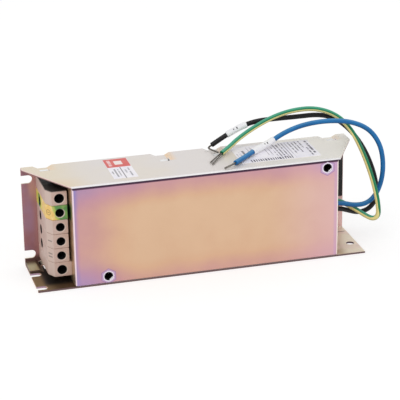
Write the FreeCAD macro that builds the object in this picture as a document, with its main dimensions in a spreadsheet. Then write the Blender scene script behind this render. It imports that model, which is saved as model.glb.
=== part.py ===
"""Single-phase line filter of the bookend kind, standing on its long narrow side.

A folded steel channel (back plate, top wall, foot wall) is closed by a folded
cover (front plate and two end walls).  A strip of screw terminals stands in the
open left end, three leads leave through a grommet in the right end wall.
X runs along the length, Y from the front plate to the back plate, Z is up.
The origin is the middle of the foot wall's underside.
"""
import FreeCAD, Part
import math
import os
import re
import Sketcher

Vector = FreeCAD.Vector
doc = FreeCAD.newDocument("line_filter")

# Driving sizes, in millimetres
SIZES = {
    "overall_length": 230.0,
    "overall_depth": 49.0,
    "overall_height": 72.0,
    "chassis_sheet": 1.2,
    "chassis_bend": 2.0,
    # the channel reaches past the cover at both ends
    "left_reach": 25.2,
    "right_reach": 20.0,
    "ear_left_depth": 43.0,
    "ear_right_depth": 35.0,
    "ear_right_start": 1.0,
    # fixing notches in the back plate's left end
    "notch_width": 5.8,
    "notch_reach": 7.6,
    "notch_low": 8.2,
    "notch_high_drop": 9.1,
    # fixing slots and hole in the foot wall
    "foot_slot_width": 5.4,
    "foot_slot_reach": 7.2,
    "foot_slot_front": 4.6,
    "foot_slot_rear": 27.4,
    "foot_hole_radius": 2.75,
    "foot_hole_inset": 5.0,
    "foot_hole_front": 17.0,
    # stiffening bridges pressed into both long bends; the outer ones are placed
    # from the channel's ends and the inner ones from its middle
    "press_step": 1.8,
    "press_flat": 6.2,
    "press_ramp": 3.5,
    "press_slot_width": 7.0,
    "press_outer_depth": 8.0,
    "press_outer_slot": 5.0,
    "press_inner_depth": 10.5,
    "press_inner_slot": 8.0,
    "press_outer_left": 14.7,
    "press_outer_right": 12.7,
    "press_inner_left": 18.5,
    "press_inner_right": 18.5,
    # cover
    "cover_sheet": 1.0,
    "cover_bend": 1.5,
    "cover_gap": 0.35,
    "back_gap": 0.1,
    "tab_length": 9.0,
    "tab_width": 14.0,
    # clinch nuts in the front plate
    "nut_corner_radius": 4.35,
    "nut_thread_radius": 2.5,
    "nut_mouth_radius": 3.1,
    "nut_barrel_radius": 3.5,
    "nut_depth": 7.0,
    "nut_low_x": 22.8,
    "nut_low_z": 6.0,
    "nut_high_x": 8.2,
    "nut_high_drop": 6.0,
    # insulating sheet on the back plate, with a tongue under the leads
    "liner_sheet": 0.5,
    "liner_low": 5.0,
    "liner_high_drop": 5.0,
    "liner_side_gap": 0.6,
    "tongue_low": 25.0,
    "tongue_high": 58.0,
    "tongue_inset": 0.5,
    # terminal strip
    "terminal_seam": 0.15,
    "terminal_edge": 0.4,
    "terminal_low": 5.4,
    "terminal_head_room": 5.4,
    "terminal_front": 10.0,
    "terminal_width": 13.7,
    "terminal_wall_gap": 1.5,
    "low_end_extra": 1.4,
    "bevel_width": 3.4,
    "bevel_depth": 6.0,
    "screw_inset": 5.2,
    "access_radius": 2.8,
    "fixing_access_radius": 3.15,
    "entry_back": 12.3,
    "entry_radius": 3.1,
    "link_entry_radius": 2.0,
    "clamp_length": 9.0,
    "clamp_depth": 9.0,
    "clamp_height": 7.4,
    "clamp_bore": 2.5,
    "clamp_clearance": 0.1,
    "thread_clearance": 0.05,
    "clamp_screw_head": 2.6,
    "clamp_screw_head_height": 2.4,
    "clamp_screw_shank": 1.95,
    "clamp_screw_above": 3.0,
    "fixing_head_radius": 2.9,
    "fixing_head_height": 2.4,
    "fixing_floor": 4.8,
    "fixing_shank": 1.7,
    # window in the left end wall for the inner wires
    "window_depth": 11.0,
    "window_margin": 3.0,
    # circuit board
    "board_left": 17.8,
    "board_right": 13.0,
    "board_low": 8.0,
    "board_high_drop": 8.0,
    "board_sheet": 1.6,
    "board_stand": 6.1,
    "board_fix_x": 6.0,
    "board_fix_z": 5.0,
    "spacer_radius": 3.0,
    "spacer_bore": 1.6,
    "board_screw_radius": 1.5,
    "board_screw_head": 2.8,
    "board_screw_head_height": 2.0,
    "board_screw_length": 6.0,
    # ring choke
    "core_outer": 19.0,
    "core_inner": 11.0,
    "core_height": 15.0,
    "coil_wire": 2.2,
    "coil_clearance": 0.1,
    "coil_sector": 140.0,
    "coil_turns": 11,
    "cradle_height": 2.0,
    "cradle_radius": 20.0,
    # capacitors and discharge resistor, placed from the board's nearer end
    "cap_round": 1.2,
    "x_cap_length": 12.0,
    "x_cap_width": 26.5,
    "x_cap_height": 21.0,
    "x_cap_input": 17.5,
    "x_cap_output": 17.0,
    "y_cap_length": 7.0,
    "y_cap_width": 13.0,
    "y_cap_height": 12.0,
    "y_cap_x": 30.0,
    "y_cap_rise": 12.0,
    "resistor_radius": 2.2,
    "resistor_length": 12.0,
    "resistor_lift": 3.4,
    "resistor_wire": 0.4,
    "resistor_reach": 4.0,
    "resistor_x": 38.5,
    # grommet and leads
    "outlet_height": 28.75,
    "grommet_radius": 9.0,
    "grommet_waist": 7.0,
    "grommet_inner": 1.9,
    "grommet_outer": 2.4,
    "grommet_gap": 0.1,
    "lead_radius": 1.7,
    "lead_clearance": 0.05,
    "pad_inset": 5.0,
    "pad_line_below": 2.0,
    "pad_earth_above": 8.0,
    "pad_neutral_z": 20.0,
    "pad_rise": 8.5,
    "inner_lead_bend": 10.0,
    "link_radius": 1.5,
    "link_reach": 9.0,
    "link_arch": 5.0,
    "sleeve_wall": 0.5,
    "sleeve_clearance": 0.05,
    "conductor_radius": 0.65,
    "strand_radius": 0.5,
    # labels on the top wall
    "label_sheet": 0.15,
    "left_label_start": 30.3,
    "left_label_length": 16.6,
    "left_label_front": 7.0,
    "left_label_back": 44.6,
    "right_label_end": 9.5,
    "right_label_length": 56.0,
    "right_label_front": 9.5,
    "right_label_back": 42.0,
}

# The free leads' routes, from the grommet's face to the end of the insulation
LINE_ROUTE = [
    (97.5, -2.9, 30.4), (105.0, -2.9, 30.4), (114.0, -3.8, 27.8), (123.5, -3.8, 28.1),
    (130.8, -2.6, 33.8), (135.3, -1.2, 44.1), (136.3, -0.3, 57.0), (133.8, 1.0, 70.1),
    (126.0, 2.4, 81.3), (113.0, 4.5, 87.2), (97.5, 7.5, 88.3), (82.0, 10.0, 86.5),
    (68.5, 11.5, 82.0), (55.5, 8.5, 76.2), (42.0, 0.0, 74.6), (32.4, -9.4, 74.15),
    (24.0, -16.9, 74.0),
]
EARTH_ROUTE = [
    (97.5, 2.9, 30.4), (104.0, 2.9, 30.4), (110.8, 1.0, 26.8), (116.2, -1.6, 23.6),
    (120.3, -4.2, 20.9), (122.8, -6.4, 19.5), (124.6, -8.1, 18.8), (126.3, -9.4, 18.7),
    (128.0, -10.3, 19.6), (129.1, -10.7, 21.4), (129.5, -10.7, 23.6), (129.4, -10.3, 27.4),
    (128.8, -9.3, 33.6), (127.4, -6.6, 42.6), (125.0, -2.4, 53.6), (121.3, 3.2, 66.4),
    (115.7, 8.5, 79.2), (106.5, 13.0, 89.7), (92.5, 17.0, 94.9), (77.5, 19.5, 94.4),
    (62.3, 19.3, 91.1), (47.8, 17.8, 85.3), (35.0, 14.5, 79.2), (27.0, 9.5, 75.3),
    (20.4, 3.9, 74.0),
]
NEUTRAL_ROUTE = [
    (97.5, 0.0, 25.4), (104.0, 0.0, 25.4), (111.8, 2.4, 22.0), (119.3, 3.8, 18.9),
    (126.8, 4.2, 19.9), (132.2, 4.6, 24.8), (134.1, 5.0, 33.9), (132.0, 5.6, 45.5),
    (128.4, 8.4, 57.5), (123.0, 11.2, 68.6), (115.2, 14.4, 79.0), (105.8, 17.8, 86.4),
    (95.0, 20.6, 88.9), (80.0, 22.4, 88.1), (65.0, 22.8, 88.1), (51.0, 22.6, 88.1),
    (39.5, 22.4, 85.2), (27.5, 22.0, 79.5), (18.0, 21.4, 74.1),
]
# Bare ends of the conductors
LINE_TIP = [(24.0, -16.9, 74.0), (21.2, -19.4, 73.95), (18.2, -20.8, 73.4), (15.2, -21.5, 72.8)]
NEUTRAL_TIP = [
    (18.0, 21.4, 74.1), (15.72, 21.256, 72.804), (15.6, 18.4, 72.8), (17.4, 14.4, 72.7),
    (19.6, 9.8, 72.7),
]
EARTH_TIPS = [
    [(20.04, 4.32, 74.0), (18.39, 2.92, 73.675), (14.2, -1.6, 73.0), (9.1, -7.9, 72.7)],
    [(20.756, 3.48, 74.0), (19.106, 2.08, 73.675), (14.6, -4.4, 73.0), (9.6, -11.5, 72.6)],
]
# Where each marker sleeve lies along its lead, measured back from the bare end
LINE_SLEEVE = (22.7, 44.6)
NEUTRAL_SLEEVE = (12.8, 28.3)

sheet = doc.addObject("Spreadsheet::Sheet", "Sizes")
for row, (alias, value) in enumerate(SIZES.items(), start=1):
    sheet.set("A%d" % row, alias)
    sheet.set("B%d" % row, str(value))
    sheet.setAlias("B%d" % row, alias)
doc.recompute()


def size(alias):
    """A size as the sheet holds it."""
    return float(sheet.get(alias))


def cells(text):
    """Turn a formula of plain size names into one that points at the sheet."""
    return re.sub(r"[a-z][a-z_]*[a-z]", lambda name: "Sizes." + name.group(), text)


# Formulas that several pieces share
FRONT = "(-overall_depth / 2)"
BACK_INSIDE = "(overall_depth / 2 - chassis_sheet)"
COVER_LEFT = "(-overall_length / 2 + left_reach)"
COVER_RIGHT = "(overall_length / 2 - right_reach)"
COVER_LOW = "(chassis_sheet + cover_gap)"
COVER_HIGH = "(overall_height - chassis_sheet - cover_gap)"
WALL_BACK = "(overall_depth / 2 - chassis_sheet - liner_sheet - back_gap)"
BLOCK_RIGHT = "(-overall_length / 2 + left_reach - terminal_wall_gap)"
BLOCK_LEFT = "(-overall_length / 2 + left_reach - terminal_wall_gap - terminal_width)"
BLOCK_FRONT = "(-overall_depth / 2 + terminal_front)"
SCREW_X = "(-overall_length / 2 + left_reach - terminal_wall_gap - screw_inset)"
ENTRY_Y = "(overall_depth / 2 - chassis_sheet - entry_back)"
TERMINAL_PITCH = "((overall_height - terminal_low - terminal_head_room) / 6)"
BOARD_BACK = "(overall_depth / 2 - chassis_sheet - board_stand)"
BOARD_FRONT = "(overall_depth / 2 - chassis_sheet - board_stand - board_sheet)"
BOARD_LEFT = "(-overall_length / 2 + left_reach + board_left)"
BOARD_RIGHT = "(overall_length / 2 - right_reach - board_right)"
BOARD_HIGH = "(overall_height - board_high_drop)"
MIDDLE_Z = "(overall_height / 2)"
# components along the board; the choke stands midway between its neighbours
X_CAP_INPUT_X = "(%s + x_cap_input)" % BOARD_LEFT
X_CAP_OUTPUT_X = "(%s - x_cap_output)" % BOARD_RIGHT
Y_CAP_X = "(%s - y_cap_x)" % BOARD_RIGHT
RESISTOR_X = "(%s - resistor_x)" % BOARD_RIGHT
CHOKE_X = "((%s + x_cap_length / 2 + %s - resistor_radius) / 2)" % (X_CAP_INPUT_X, RESISTOR_X)


def bind(piece, **formulas):
    """Bind properties of a piece to formulas of the sheet's sizes."""
    for name, formula in formulas.items():
        piece.setExpression(name, cells(formula))
    return piece


def place(piece, at):
    """Bind a piece's place to three formulas."""
    for axis, formula in zip("xyz", at):
        piece.setExpression("Placement.Base." + axis, cells(formula))
    return piece


def box(name, low, high):
    """A box between two corners, each given as three formulas."""
    piece = doc.addObject("Part::Box", name)
    spans = ["(%s) - (%s)" % (end, start) for start, end in zip(low, high)]
    bind(piece, Length=spans[0], Width=spans[1], Height=spans[2])
    return place(piece, low)


TURNS = {
    "x": FreeCAD.Rotation(Vector(0, 1, 0), 90),
    "y": FreeCAD.Rotation(Vector(1, 0, 0), -90),
    "z": FreeCAD.Rotation(),
}


def rod(name, radius, start, length, axis):
    """A cylinder from its start point along an axis."""
    piece = doc.addObject("Part::Cylinder", name)
    bind(piece, Radius=radius, Height=length)
    piece.Placement.Rotation = TURNS[axis]
    return place(piece, start)


def fuse(name, pieces):
    piece = doc.addObject("Part::MultiFuse", name)
    piece.Shapes = pieces
    return piece


def cut(name, base, tools):
    """The base less one tool or several."""
    piece = doc.addObject("Part::Cut", name)
    piece.Base = base
    piece.Tool = tools[0] if len(tools) == 1 else fuse(name + "_tools", tools)
    return piece


def group(name, pieces):
    """Separate solids that share one node."""
    piece = doc.addObject("Part::Compound", name)
    piece.Links = pieces
    return piece


finished = {}


def finish(piece, node):
    """Give a finished sub-part the label that names its file."""
    piece.Label = node
    finished[node] = piece
    return piece


def origin_plane(body, role):
    return [feature for feature in body.Origin.OriginFeatures if feature.Role == role][0]


def outline(body, name, plane, points, lift="0"):
    """A closed sketch of straight sides whose corners are bound to formulas."""
    sketch = body.newObject("Sketcher::SketchObject", name)
    sketch.AttachmentSupport = [(origin_plane(body, plane), "")]
    sketch.MapMode = "FlatFace"
    sketch.setExpression("AttachmentOffset.Base.z", cells(lift))
    count = len(points)
    start = [Vector(50, 0, 0)]
    for index in range(1, count + 1):
        angle = 2 * math.pi * index / count
        start.append(Vector(50 * math.cos(angle), 50 * math.sin(angle), 0))
    for index in range(count):
        sketch.addGeometry(Part.LineSegment(start[index], start[index + 1]), False)
    for index in range(count):
        sketch.addConstraint(Sketcher.Constraint("Coincident", index, 2, (index + 1) % count, 1))
    for index, corner in enumerate(points):
        for kind, formula, now in zip(("DistanceX", "DistanceY"), corner, start[index]):
            number = sketch.addConstraint(Sketcher.Constraint(kind, -1, 1, index, 1, now))
            sketch.setExpression("Constraints[%d]" % number, cells(formula))
    return sketch


def pad(body, name, sketch, length, centred=False):
    feature = body.newObject("PartDesign::Pad", name)
    feature.Profile = sketch
    feature.Midplane = centred
    return bind(feature, Length=length)


def edges_where(shape, test):
    return ["Edge%d" % number for number, edge in enumerate(shape.Edges, start=1) if test(edge)]


def dress(body, kind, name, base, radius, test):
    """A fillet or chamfer on the edges of a feature that pass a test."""
    doc.recompute()
    feature = body.newObject("PartDesign::" + kind, name)
    feature.Base = (base, edges_where(base.Shape, test))
    if kind == "Fillet":
        return bind(feature, Radius=radius)
    return bind(feature, Size=radius)


def edge_runs(edge, axis):
    """True if an edge is parallel to an axis, 0 to 2 for X, Y, Z."""
    first, last = edge.Vertexes[0].Point, edge.Vertexes[-1].Point
    return all(abs(first[other] - last[other]) < 1e-6 for other in range(3) if other != axis)


def near(edge, axis, value):
    return abs(edge.CenterOfMass[axis] - value) < 1e-6


# Chassis: one folded channel, its bends pressed in at four places each
def make_chassis():
    body = doc.addObject("PartDesign::Body", "channel")
    inner_front, inner_back = FRONT, BACK_INSIDE
    section = outline(body, "channel_section", "YZ_Plane", [
        (FRONT, "0"),
        ("overall_depth / 2", "0"),
        ("overall_depth / 2", "overall_height"),
        (FRONT, "overall_height"),
        (inner_front, "overall_height - chassis_sheet"),
        (inner_back, "overall_height - chassis_sheet"),
        (inner_back, "chassis_sheet"),
        (inner_front, "chassis_sheet"),
    ])
    folded = pad(body, "folded_sheet", section, "overall_length", centred=True)
    back = size("overall_depth") / 2
    inside = back - size("chassis_sheet")
    outer = dress(body, "Fillet", "outer_bends", folded, "chassis_bend",
                  lambda edge: edge_runs(edge, 0) and near(edge, 1, back))
    inner = dress(body, "Fillet", "inner_bends", outer, "chassis_bend - chassis_sheet",
                  lambda edge: edge_runs(edge, 0) and near(edge, 1, inside)
                  and not edge_runs_on_back(edge))
    ears = inner
    for side, corners in (
        ("left", [
            ("-overall_length / 2", FRONT),
            (COVER_LEFT, FRONT),
            ("-overall_length / 2", FRONT + " + ear_left_depth"),
        ]),
        ("right", [
            ("overall_length / 2", FRONT),
            ("overall_length / 2", FRONT + " + ear_right_depth"),
            (COVER_RIGHT + " + ear_right_start", FRONT),
        ]),
    ):
        sketch = outline(body, side + "_ear_outline", "XY_Plane", corners, lift="overall_height")
        ears = body.newObject("PartDesign::Pocket", side + "_ear_cut")
        ears.Profile = sketch
        bind(ears, Length="chassis_sheet * 2")
    body.Tip = ears

    tools = notch_tools() + foot_tools() + block_fixing_holes() + press_openings()
    blank = cut("punched_channel", body, tools)
    finish(fuse("chassis", [blank, press_bridges()]), "chassis")


def edge_runs_on_back(edge):
    """The long inner corners are the only lengthwise edges at the back plate's inside."""
    low = size("chassis_sheet")
    high = size("overall_height") - low
    return not (near(edge, 2, low) or near(edge, 2, high))


def notch_tools():
    """U notches, open at the left end of the back plate."""
    tools = []
    for name, middle in (("notch_low", "notch_low"),
                         ("notch_high", "(overall_height - notch_high_drop)")):
        low = ("-overall_length / 2 - 1", BACK_INSIDE + " - 1", middle + " - notch_width / 2")
        high = ("-overall_length / 2 + notch_reach - notch_width / 2", "overall_depth / 2 + 1",
                middle + " + notch_width / 2")
        tools.append(box(name + "_mouth", low, high))
        start = ("-overall_length / 2 + notch_reach - notch_width / 2", BACK_INSIDE + " - 1", middle)
        tools.append(rod(name + "_end", "notch_width / 2", start, "chassis_sheet + 2", "y"))
    return tools


def foot_tools():
    """Two slots open at the left end of the foot wall, one round hole at its right end."""
    tools = []
    for name in ("foot_slot_front", "foot_slot_rear"):
        middle = FRONT + " + " + name
        low = ("-overall_length / 2 - 1", middle + " - foot_slot_width / 2", "-1")
        high = ("-overall_length / 2 + foot_slot_reach - foot_slot_width / 2",
                middle + " + foot_slot_width / 2", "chassis_sheet + 1")
        tools.append(box(name + "_mouth", low, high))
        start = ("-overall_length / 2 + foot_slot_reach - foot_slot_width / 2", middle, "-1")
        tools.append(rod(name + "_end", "foot_slot_width / 2", start, "chassis_sheet + 2", "z"))
    start = ("overall_length / 2 - foot_hole_inset", FRONT + " + foot_hole_front", "-1")
    tools.append(rod("foot_hole", "foot_hole_radius", start, "chassis_sheet + 2", "z"))
    return tools


def terminal_height(position):
    """Formula of a terminal's middle height; position 0 is the lowest piece."""
    return "(terminal_low + %s * %.1f)" % (TERMINAL_PITCH, position + 0.5)


def block_fixing_holes():
    """Holes in the back plate for the two screws that hold the terminal strip."""
    return [
        rod("block_hole_%d" % position, "fixing_shank + thread_clearance",
            (SCREW_X, BACK_INSIDE + " - 1", terminal_height(position)), "chassis_sheet + 2", "y")
        for position in (0, 5)
    ]


# Each pressed place: its side, whether outer or inner, and the formula of its middle
PRESSES = (
    ("left", "outer", "(press_outer_left - overall_length / 2)"),
    ("left", "inner", "(-press_inner_left)"),
    ("right", "inner", "press_inner_right"),
    ("right", "outer", "(overall_length / 2 - press_outer_right)"),
)
PRESS_HALF = "(press_flat / 2 + press_ramp)"
PRESS_LEG = "(press_step + chassis_bend + 1)"


def press_openings():
    """What is taken out of both bends for the bridges, and the opening before each bridge."""
    tools = []
    for side, kind, middle in PRESSES:
        edge = "overall_depth / 2 - press_%s_depth" % kind
        slot = edge + " - press_%s_slot" % kind
        levels = (
            ("low", "-1", PRESS_LEG, "chassis_sheet * 2"),
            ("high", "overall_height + 1", "overall_height - " + PRESS_LEG,
             "overall_height - chassis_sheet * 2"),
        )
        for level, outside, leg, inside in levels:
            name = "press_%s_%s_%s" % (side, kind, level)
            low, high = (outside, leg) if level == "low" else (leg, outside)
            tools.append(box(name, (middle + " - " + PRESS_HALF, edge, low),
                             (middle + " + " + PRESS_HALF, "overall_depth / 2 + 1", high)))
            low, high = (outside, inside) if level == "low" else (inside, outside)
            tools.append(box(name + "_slot", (middle + " - press_slot_width / 2", slot, low),
                             (middle + " + press_slot_width / 2", edge + " + 0.01", high)))
    return tools


def bend_wire(x, depth, drop):
    """Section of the top bend at x, its top wall lowered by drop."""
    back, top = size("overall_depth") / 2, size("overall_height")
    wall, radius = size("chassis_sheet"), size("chassis_bend")
    start, corner, high = back - depth, back - radius, top - drop
    leg = top - size("press_step") - radius - 1
    half = math.sqrt(0.5)
    inner = radius - wall
    outer_middle = Vector(x, corner + radius * half, high - radius + radius * half)
    inner_middle = Vector(x, corner + inner * half, high - radius + inner * half)
    points = [
        Vector(x, start, high), Vector(x, corner, high), Vector(x, back, high - radius),
        Vector(x, back, leg), Vector(x, back - wall, leg), Vector(x, back - wall, high - radius),
        Vector(x, corner, high - wall), Vector(x, start, high - wall),
    ]
    edges = [
        Part.LineSegment(points[0], points[1]).toShape(),
        Part.Arc(points[1], outer_middle, points[2]).toShape(),
        Part.LineSegment(points[2], points[3]).toShape(),
        Part.LineSegment(points[3], points[4]).toShape(),
        Part.LineSegment(points[4], points[5]).toShape(),
        Part.Arc(points[5], inner_middle, points[6]).toShape(),
        Part.LineSegment(points[6], points[7]).toShape(),
        Part.LineSegment(points[7], points[0]).toShape(),
    ]
    return Part.Wire(edges)


def press_bridges():
    """Lowered stretches of both bends, each with a ramp at its two ends."""
    flat, ramp, step = size("press_flat") / 2, size("press_ramp"), size("press_step")
    stations = [(-flat - ramp, 0), (-flat, step), (flat, step), (flat + ramp, 0)]
    centre = Vector(0, 0, size("overall_height") / 2)
    shapes = []
    for side, kind, _ in PRESSES:
        reach = size("press_%s_%s" % (kind, side))
        if kind == "outer":
            reach = size("overall_length") / 2 - reach
        middle = -reach if side == "left" else reach
        depth = size("press_%s_depth" % kind)
        wires = [bend_wire(middle + offset, depth, drop) for offset, drop in stations]
        bridge = Part.makeLoft(wires, True, True)
        shapes += [bridge, bridge.mirror(centre, Vector(0, 0, 1))]
    piece = doc.addObject("Part::Feature", "press_bridges")
    piece.Shape = shapes[0].multiFuse(shapes[1:])
    return piece


# Cover: front plate and two end walls, one folded sheet
def make_cover():
    body = doc.addObject("PartDesign::Body", "cover_body")
    inside_left, inside_right = COVER_LEFT + " + cover_sheet", COVER_RIGHT + " - cover_sheet"
    section = outline(body, "cover_section", "XY_Plane", [
        (COVER_LEFT, WALL_BACK),
        (COVER_LEFT, FRONT),
        (COVER_RIGHT, FRONT),
        (COVER_RIGHT, WALL_BACK),
        (inside_right, WALL_BACK),
        (inside_right, FRONT + " + cover_sheet"),
        (inside_left, FRONT + " + cover_sheet"),
        (inside_left, WALL_BACK),
    ], lift=COVER_LOW)
    folded = pad(body, "cover_sheet_metal", section, COVER_HIGH + " - " + COVER_LOW)
    front = -size("overall_depth") / 2
    inside = front + size("cover_sheet")
    outer = dress(body, "Fillet", "cover_outer_bends", folded, "cover_bend",
                  lambda edge: edge_runs(edge, 2) and near(edge, 1, front))
    dress(body, "Fillet", "cover_inner_bends", outer, "cover_bend - cover_sheet",
          lambda edge: edge_runs(edge, 2) and near(edge, 1, inside))

    tabs = []
    for side, wall, end in (("left", inside_left, inside_left + " + tab_length"),
                            ("right", inside_right + " - tab_length", inside_right)):
        for level, low, high in (("low", "chassis_sheet", "chassis_sheet + cover_sheet"),
                                 ("high", "overall_height - chassis_sheet - cover_sheet",
                                  "overall_height - chassis_sheet")):
            tabs.append(box("tab_%s_%s" % (side, level), (wall, "-tab_width / 2", low),
                            (end, "tab_width / 2", high)))
    folded_cover = fuse("cover_with_tabs", [body] + tabs)

    window = box("wire_window",
                 (COVER_LEFT + " - 1", ENTRY_Y + " - window_depth / 2",
                  terminal_height(1) + " - window_margin"),
                 (COVER_LEFT + " + cover_sheet + 1", ENTRY_Y + " + window_depth / 2",
                  terminal_height(4) + " + window_margin"))
    outlet = rod("outlet_hole", "grommet_waist",
                 (COVER_RIGHT + " - cover_sheet - 1", "0", "outlet_height"), "cover_sheet + 2", "x")
    tools = [window, outlet]
    for name, at in nut_places():
        tools.append(hexagon("nut_hole_" + name, at, FRONT + " - 1", "cover_sheet + 2"))
    finish(cut("front_cover", folded_cover, tools), "front_cover")


def nut_places():
    return (
        ("low", (COVER_LEFT + " + nut_low_x", "nut_low_z")),
        ("high", (COVER_RIGHT + " - nut_high_x", "overall_height - nut_high_drop")),
    )


def hexagon(name, at, start, length):
    """A hexagonal prism along Y with two corners up and down."""
    piece = doc.addObject("Part::Prism", name)
    piece.Polygon = 6
    bind(piece, Circumradius="nut_corner_radius", Height=length)
    piece.Placement.Rotation = TURNS["y"].multiply(FreeCAD.Rotation(Vector(0, 0, 1), 90))
    return place(piece, (at[0], start, at[1]))


def make_clinch_nuts():
    nuts = []
    for name, at in nut_places():
        head = hexagon("nut_head_" + name, at, FRONT, "cover_sheet")
        start = (at[0], FRONT + " + cover_sheet", at[1])
        barrel = rod("nut_barrel_" + name, "nut_barrel_radius", start, "nut_depth - cover_sheet", "y")
        thread = rod("nut_thread_" + name, "nut_thread_radius", (at[0], FRONT + " - 1", at[1]),
                     "nut_depth + 2", "y")
        mouth = doc.addObject("Part::Cone", "nut_mouth_" + name)
        bind(mouth, Radius1="nut_mouth_radius", Radius2="nut_thread_radius",
             Height="nut_mouth_radius - nut_thread_radius")
        mouth.Placement.Rotation = TURNS["y"]
        place(mouth, (at[0], FRONT, at[1]))
        nuts.append(cut("clinch_nut_" + name, fuse("nut_blank_" + name, [head, barrel]), [thread, mouth]))
    finish(group("clinch_nuts", nuts), "clinch_nuts")


# Insulating sheet against the back plate, its tongue lying over the right flange
def make_liner():
    low_y, high_y = BACK_INSIDE + " - liner_sheet", BACK_INSIDE
    tongue_start = COVER_RIGHT + " - cover_sheet - liner_side_gap"
    main = box("liner_main", (COVER_LEFT + " + cover_sheet + liner_side_gap", low_y, "liner_low"),
               (tongue_start, high_y, "overall_height - liner_high_drop"))
    tongue = box("liner_tongue", (tongue_start, low_y, "tongue_low"),
                 ("overall_length / 2 - tongue_inset", high_y, "tongue_high"))
    holes = [
        rod("liner_hole_%d" % number, "spacer_radius + liner_side_gap", (x, low_y + " - 1", z),
            "liner_sheet + 2", "y")
        for number, (x, z) in enumerate(board_fixings())
    ]
    finish(cut("insulating_liner", fuse("liner_blank", [main, tongue]), holes), "insulating_liner")


# Terminal strip: six moulded pieces side by side on the back plate
def make_terminal(node, position, fixing):
    body = doc.addObject("PartDesign::Body", node + "_body")
    bottom = "(terminal_low + %s * %d + terminal_seam / 2)" % (TERMINAL_PITCH, position)
    right = BLOCK_RIGHT + " + low_end_extra" if position == 0 else BLOCK_RIGHT
    section = outline(body, node + "_section", "XY_Plane", [
        (BLOCK_LEFT, BACK_INSIDE),
        (BLOCK_LEFT, BLOCK_FRONT + " + bevel_depth"),
        (BLOCK_LEFT + " + bevel_width", BLOCK_FRONT),
        (right, BLOCK_FRONT),
        (right, BACK_INSIDE),
    ], lift=bottom)
    moulding = pad(body, node + "_moulding", section, TERMINAL_PITCH + " - terminal_seam")
    base = size("overall_depth") / 2 - size("chassis_sheet")
    dress(body, "Chamfer", node + "_edges", moulding, "terminal_edge",
          lambda edge: not edge_runs(edge, 2) and not near(edge, 1, base))
    middle = terminal_height(position)
    front = BLOCK_FRONT + " - 1"
    if fixing:
        floor = BACK_INSIDE + " - fixing_floor"
        tools = [
            rod(node + "_well", "fixing_access_radius", (SCREW_X, front, middle),
                floor + " - (" + front + ")", "y"),
            rod(node + "_shank_hole", "fixing_shank + thread_clearance", (SCREW_X, floor + " - 1", middle),
                "fixing_floor + 2", "y"),
        ]
    else:
        room = "clamp_clearance"
        tools = [
            rod(node + "_access", "access_radius", (SCREW_X, front, middle),
                ENTRY_Y + " - (" + front + ")", "y"),
            rod(node + "_entry", "entry_radius", (BLOCK_LEFT + " - 1", ENTRY_Y, middle),
                SCREW_X + " - " + BLOCK_LEFT + " + 1", "x"),
            rod(node + "_link_entry", "link_entry_radius", (SCREW_X, ENTRY_Y, middle),
                BLOCK_RIGHT + " - " + SCREW_X + " + 1", "x"),
            box(node + "_clamp_room",
                (SCREW_X + " - clamp_length / 2 - " + room, ENTRY_Y + " - clamp_depth / 2 - " + room,
                 middle + " - clamp_height / 2 - " + room),
                (SCREW_X + " + clamp_length / 2 + " + room, ENTRY_Y + " + clamp_depth / 2 + " + room,
                 middle + " + clamp_height / 2 + " + room)),
        ]
    finish(cut(node, body, tools), node)


def make_terminal_strip():
    nodes = ["terminal_end_low", "terminal_neutral", "terminal_line", "terminal_spare",
             "terminal_earth", "terminal_end_high"]
    clamps, screws, fixings = [], [], []
    for position, node in enumerate(nodes):
        fixing = position in (0, 5)
        make_terminal(node, position, fixing)
        middle = terminal_height(position)
        if fixing:
            floor = BACK_INSIDE + " - fixing_floor"
            head = rod("fixing_head_%d" % position, "fixing_head_radius",
                       (SCREW_X, floor + " - fixing_head_height", middle), "fixing_head_height", "y")
            shank = rod("fixing_shank_%d" % position, "fixing_shank", (SCREW_X, floor, middle),
                        "fixing_floor + chassis_sheet - thread_clearance", "y")
            blank = fuse("fixing_%d" % position, [head, shank])
            fixings.append(slotted("fixing_screw_%d" % position, blank, SCREW_X,
                                   floor + " - fixing_head_height", middle, "fixing_head_radius"))
        else:
            clamps.append(make_clamp(position, middle))
            screws.append(make_clamp_screw(position, middle))
    finish(group("terminal_clamps", clamps), "terminal_clamps")
    finish(group("terminal_screws", screws), "terminal_screws")
    finish(group("strip_fixing_screws", fixings), "strip_fixing_screws")


def make_clamp(position, middle):
    """Brass clamp body with a bore for the wire and a tapped hole for the screw."""
    block = box("clamp_block_%d" % position,
                (SCREW_X + " - clamp_length / 2", ENTRY_Y + " - clamp_depth / 2",
                 middle + " - clamp_height / 2"),
                (SCREW_X + " + clamp_length / 2", ENTRY_Y + " + clamp_depth / 2",
                 middle + " + clamp_height / 2"))
    bore = rod("clamp_bore_%d" % position, "clamp_bore",
               (SCREW_X + " - clamp_length / 2 - 1", ENTRY_Y, middle), "clamp_length + 2", "x")
    tapped = rod("clamp_thread_%d" % position, "clamp_screw_shank + thread_clearance",
                 (SCREW_X, ENTRY_Y + " - clamp_depth / 2 - 1", middle), "clamp_depth / 2 + 1", "y")
    return cut("clamp_%d" % position, block, [bore, tapped])


def make_clamp_screw(position, middle):
    """Slotted screw whose shank just enters the clamp's bore."""
    top = ENTRY_Y + " - clamp_depth / 2 - clamp_screw_above"
    head = rod("screw_head_%d" % position, "clamp_screw_head", (SCREW_X, top, middle),
               "clamp_screw_head_height", "y")
    shank = rod("screw_shank_%d" % position, "clamp_screw_shank",
                (SCREW_X, top + " + clamp_screw_head_height", middle),
                "clamp_screw_above - clamp_screw_head_height + clamp_depth / 2 - clamp_bore + 0.3", "y")
    return slotted("clamp_screw_%d" % position, fuse("screw_%d" % position, [head, shank]),
                   SCREW_X, top, middle, "clamp_screw_head")


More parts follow.
